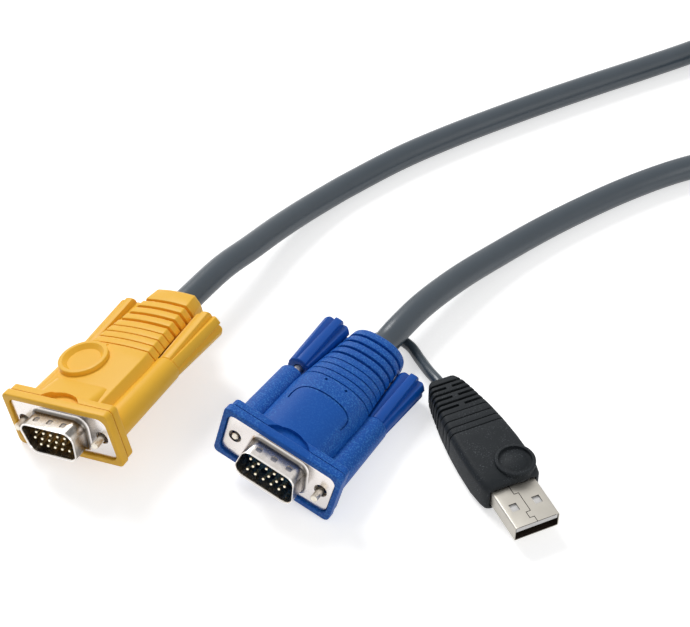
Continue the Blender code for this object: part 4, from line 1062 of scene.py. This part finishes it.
def one_grip(tube_rear):
    """A flaring thumb grip with six V flutes that open towards its rear."""
    front = tube_rear + TOUCH_GAP + GRIP_SEAT
    start = GRIP_FRONT_RADIUS - 0.2
    grip = outline_face("grip", front, oval_outline(2 * start, 2 * start, 2, 72))
    steps = [(front + 0.2, GRIP_FRONT_RADIUS)]
    for share in (0.25, 0.5, 0.75, 0.94):
        flare = GRIP_REAR_RADIUS - GRIP_FRONT_RADIUS
        steps.append((front + share * GRIP_LENGTH, GRIP_FRONT_RADIUS + flare * share))
    rear = front + GRIP_LENGTH - GRIP_END_ROOM
    steps += [(rear - 0.7, GRIP_REAR_RADIUS - 0.08), (rear - 0.25, GRIP_REAR_RADIUS - 0.35),
              (rear, GRIP_REAR_RADIUS - 0.85)]
    draw_out(grip, [(y, radius / start, radius / start) for y, radius in steps])
    for i in range(FLUTES):
        wedge = block("flute", (-2, front - 1, -2), (2, rear + 1, 2))
        wedge.data.transform(Matrix.Rotation(math.radians(45), 4, "Y"))
        wedge.data.transform(Matrix.Translation((0, 0, FLUTE_FLOOR + 2 * math.sqrt(2))))
        wedge.data.transform(Matrix.Rotation(2 * math.pi * (i + 0.5) / FLUTES, 4, "Y"))
        cut(grip, wedge)
    cut(grip, rod("bore", (0, front - 1, 0), SHANK_IN_GRIP + 1.3, SHANK_RADIUS + 0.25))
    return soften(grip, 0.12, 40, 2)


for colour, lay, tube_rear, skin, slot in (
    ("blue", BLUE, BLUE_TUBE_REAR, BLUE_GRIP, "blue_plastic"),
    ("yellow", YELLOW, YELLOW_TUBE_REAR, YELLOW_SKIN, "yellow_plastic"),
):
    screw_model = one_screw(tube_rear)
    grip_model = one_grip(tube_rear)
    for hand, side in (("left", -1), ("right", 1)):
        drawn_back = LEFT_DRAWN_BACK if (colour, hand) == ("blue", "left") else 0.0
        screw = move(copy_of(screw_model, f"{colour}_jackscrew_{hand}"), side * SCREW_X, drawn_back, 0)
        settle(screw, lay, STEEL, "steel", f"{colour}_screw_{hand}_body", f"{colour}_screw_{hand}")
        grip = move(copy_of(grip_model, f"{colour}_thumb_grip_{hand}"), side * SCREW_X, drawn_back, 0)
        settle(grip, lay, skin, slot, f"{colour}_grip_{hand}_body", f"{colour}_grip_{hand}", smooth=30)
    bpy.data.objects.remove(screw_model)
    bpy.data.objects.remove(grip_model)

# USB plug

BOOT_FULL_GROOVES = (29.3, 32.8, 36.3)
BOOT_SPLIT_GROOVES = (27.55, 31.05, 34.55)
BOOT_FINE_GROOVES = (19.0, 21.0, 23.2, 25.6)
BOOT_SIZES = ((0.0, 14.8, 8.2), (2.5, 15.6, 9.2), (6.5, 16.4, 9.6), (13.0, 16.2, 9.6), (19.0, 15.4, 9.3),
              (25.0, 14.0, 8.8), (33.0, 11.2, 7.7), (36.0, 9.8, 7.2), (39.0, 7.2, 6.2))
RING_X = 2.9
RING_Y = 4.9
SEAM_HALF = 0.09


def boot_size(y):
    for (y0, width0, height0), (y1, width1, height1) in zip(BOOT_SIZES, BOOT_SIZES[1:]):
        if y <= y1:
            share = (y - y0) / (y1 - y0)
            return width0 + (width1 - width0) * share, height0 + (height1 - height0) * share
    return BOOT_SIZES[-1][1:]


def make_usb_boot():
    """The boot: a soft box whose ribbed tail narrows to the lead, and a ring with a domed middle."""
    steps = [(0.25, 0.35), (0.8, 0.05)] + [(y, 0.0) for y in (2.5, 4.5, 6.5, 10.0, 13.0, 16.0)]
    rows = [(y, 0.14, 0.3, 0.12) for y in BOOT_FINE_GROOVES]
    rows += [(y, 0.34, 0.95, 0.22) for y in BOOT_FULL_GROOVES]
    for row in sorted(rows):
        steps += groove(*row)
    steps += [(38.3, 0.1), (38.8, 0.4), (39.0, 0.8)]
    first_depth = 0.8
    width0, height0 = (size - 2 * first_depth for size in boot_size(0))
    stations = []
    for y, depth in steps:
        width, height = boot_size(y)
        stations.append((y, (width - 2 * depth) / width0, (height - 2 * depth) / height0))
    boot = draw_out(outline_face("usb_boot_moulding", 0.0, box_outline(width0, height0, 1.5, 7)), stations)
    for y in BOOT_SPLIT_GROOVES:
        width, height = boot_size(y)
        for side in (-1, 1):
            inner, outer = sorted((side * 0.8, side * width))
            slot = block("slot", (inner, y - 0.42, -height), (outer, y + 0.42, height))
            floor = outline_face("floor", y - 1, box_outline(width - 1.9, height - 1.9, 1.2, 5))
            cut(slot, draw_out(floor, [(y + 1, 1, 1)]))
            cut(boot, slot)
    ring = rod("ring", (RING_X, RING_Y, 2.6), 2.9, 5.1, upright=True, sides=96)
    round_edges(ring, lambda edge: middle_of(edge).z > 5.49, 0.4, 4)
    moat = rod("moat", (RING_X, RING_Y, 4.7), 2, 4.15, 4.35, upright=True, sides=96)
    cut(ring, moat)
    join(boot, ring)
    deselect()
    bpy.ops.mesh.primitive_uv_sphere_add(segments=64, ring_count=32, radius=8.0,
                                         location=(RING_X, RING_Y, -2.65))
    dome = begin("dome")
    cut(dome, block("under", (-9, -9, -12), (15, 15, 4.4)))
    join(boot, dome)
    pocket = block("pocket", (-6.3, -1, -2.55), (6.3, 6.3, 2.55))
    inside = block("inside", (-5.3, 0, -2.8), (5.3, 16.6, 2.8))
    cut(boot, pocket, inside)
    settle(boot, USB, RUBBER, "black_rubber", "cable", "usb_boot", smooth=30)


def make_usb_shell():
    """Folded sheet: latch windows on both broad sides, and the seam with its keyed joint on top."""
    x = 6.0
    z = 2.25
    wall = 0.3
    shell = block("usb_metal_shell", (-x, -12, -z), (x, 6, z))
    round_edges(shell, lambda edge: along(edge, 1), 0.5, 4)
    inside = block("inside", (-x + wall, -13, -z + wall), (x - wall, 7, z - wall))
    round_edges(inside, lambda edge: along(edge, 1), 0.22, 3)
    cut(shell, inside)
    for side in (-1, 1):
        window = block("window", (side * 3.1 - 1.0, -7.25, -4), (side * 3.1 + 1.0, -4.95, 4))
        cut(shell, window)
    seam = ((-1.2, 0.5), (-1.2, -2.5), (0.0, -2.5), (0.0, -8.5),
            (-1.2, -8.5), (-1.2, -10.4), (0.0, -10.4), (0.0, -12.5))
    for (x0, y0), (x1, y1) in zip(seam, seam[1:]):
        low = (min(x0, x1) - SEAM_HALF, min(y0, y1) - SEAM_HALF, z - 0.2)
        high = (max(x0, x1) + SEAM_HALF, max(y0, y1) + SEAM_HALF, z + 1)
        cut(shell, block("seam", low, high))
    settle(shell, USB, USB_PLATE, "nickel", "cable", "usb_shell", smooth=24)


def make_usb_tongue():
    """The white contact carrier, with its chamfered front and a channel for each contact."""
    tongue = block("usb_contact_carrier", (-5.55, -11.9, 0.3), (5.55, 6, 1.8))
    round_edges(tongue, lambda edge: along(edge, 0) and middle_of(edge).y < -11.5
                and middle_of(edge).z < 0.4, 0.35, 2)
    for x, length in ((-3.5, 7.4), (-1.0, 6.4), (1.0, 6.4), (3.5, 7.4)):
        cut(tongue, block("channel", (x - 0.6, -10.9, -1), (x + 0.6, -10.7 + length, 0.55)))
    settle(tongue, USB, WHITE, "white_plastic", "cable", "usb_tongue")


make_usb_boot()
make_usb_shell()
make_usb_tongue()

# The tie round the coil

TIE_WIDTH = 9.0
TIE_THICKNESS = 0.9
COIL_WIDTH = 21.6
COIL_HEIGHT = 14.4
COIL_MIDDLE = 40.0
TIE_ANGLE = 15


def make_tie():
    """A strap round the turns, with its loose end lying on top."""
    width = COIL_WIDTH + 1.2
    height = COIL_HEIGHT + TOUCH_GAP - TIE_THICKNESS
    outside = box_outline(width + 2 * TIE_THICKNESS, height + 2 * TIE_THICKNESS, 3.3)
    tie = draw_out(outline_face("tie_strap", -TIE_WIDTH / 2, outside), [(TIE_WIDTH / 2, 1, 1)])
    inner_face = outline_face("inner", -TIE_WIDTH, box_outline(width, height, 2.4))
    inner = draw_out(inner_face, [(TIE_WIDTH, 1, 1)])
    cut(tie, inner)
    half = TIE_WIDTH / 2
    top = height / 2 + TIE_THICKNESS
    end = block("loose_end", (-4, -half, top - 0.1), (8, half, top + 0.7))
    round_edges(end, lambda edge: along(edge, 2), 1.6, 4)
    join(tie, end)
    soften(tie, 0.2, 40, 2)
    place = Lay((0, 0, 0), TIE_ANGLE, 0, 0)
    middle = (COIL_HEIGHT + TOUCH_GAP + TIE_THICKNESS) / 2
    tie.data.transform(Matrix.Translation((COIL_MIDDLE, 0, middle)))
    place.matrix = Matrix.Translation(COIL_CENTRE) @ place.matrix
    settle(tie, place, STRAP, "tie_black", "cable", "coil_tie")


make_tie()

# Finishes of the CAD nodes that are kept


def kept_finish(name):
    """The finish of a CAD node that is kept as it is."""
    for part, finish in (("contact", GOLD), ("rear_shell", STEEL), ("mould", NATURAL)):
        if part in name:
            return finish
    return CORD_SKIN


for name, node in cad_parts.items():
    node.data.materials.clear()
    node.data.materials.append(kept_finish(name).material)
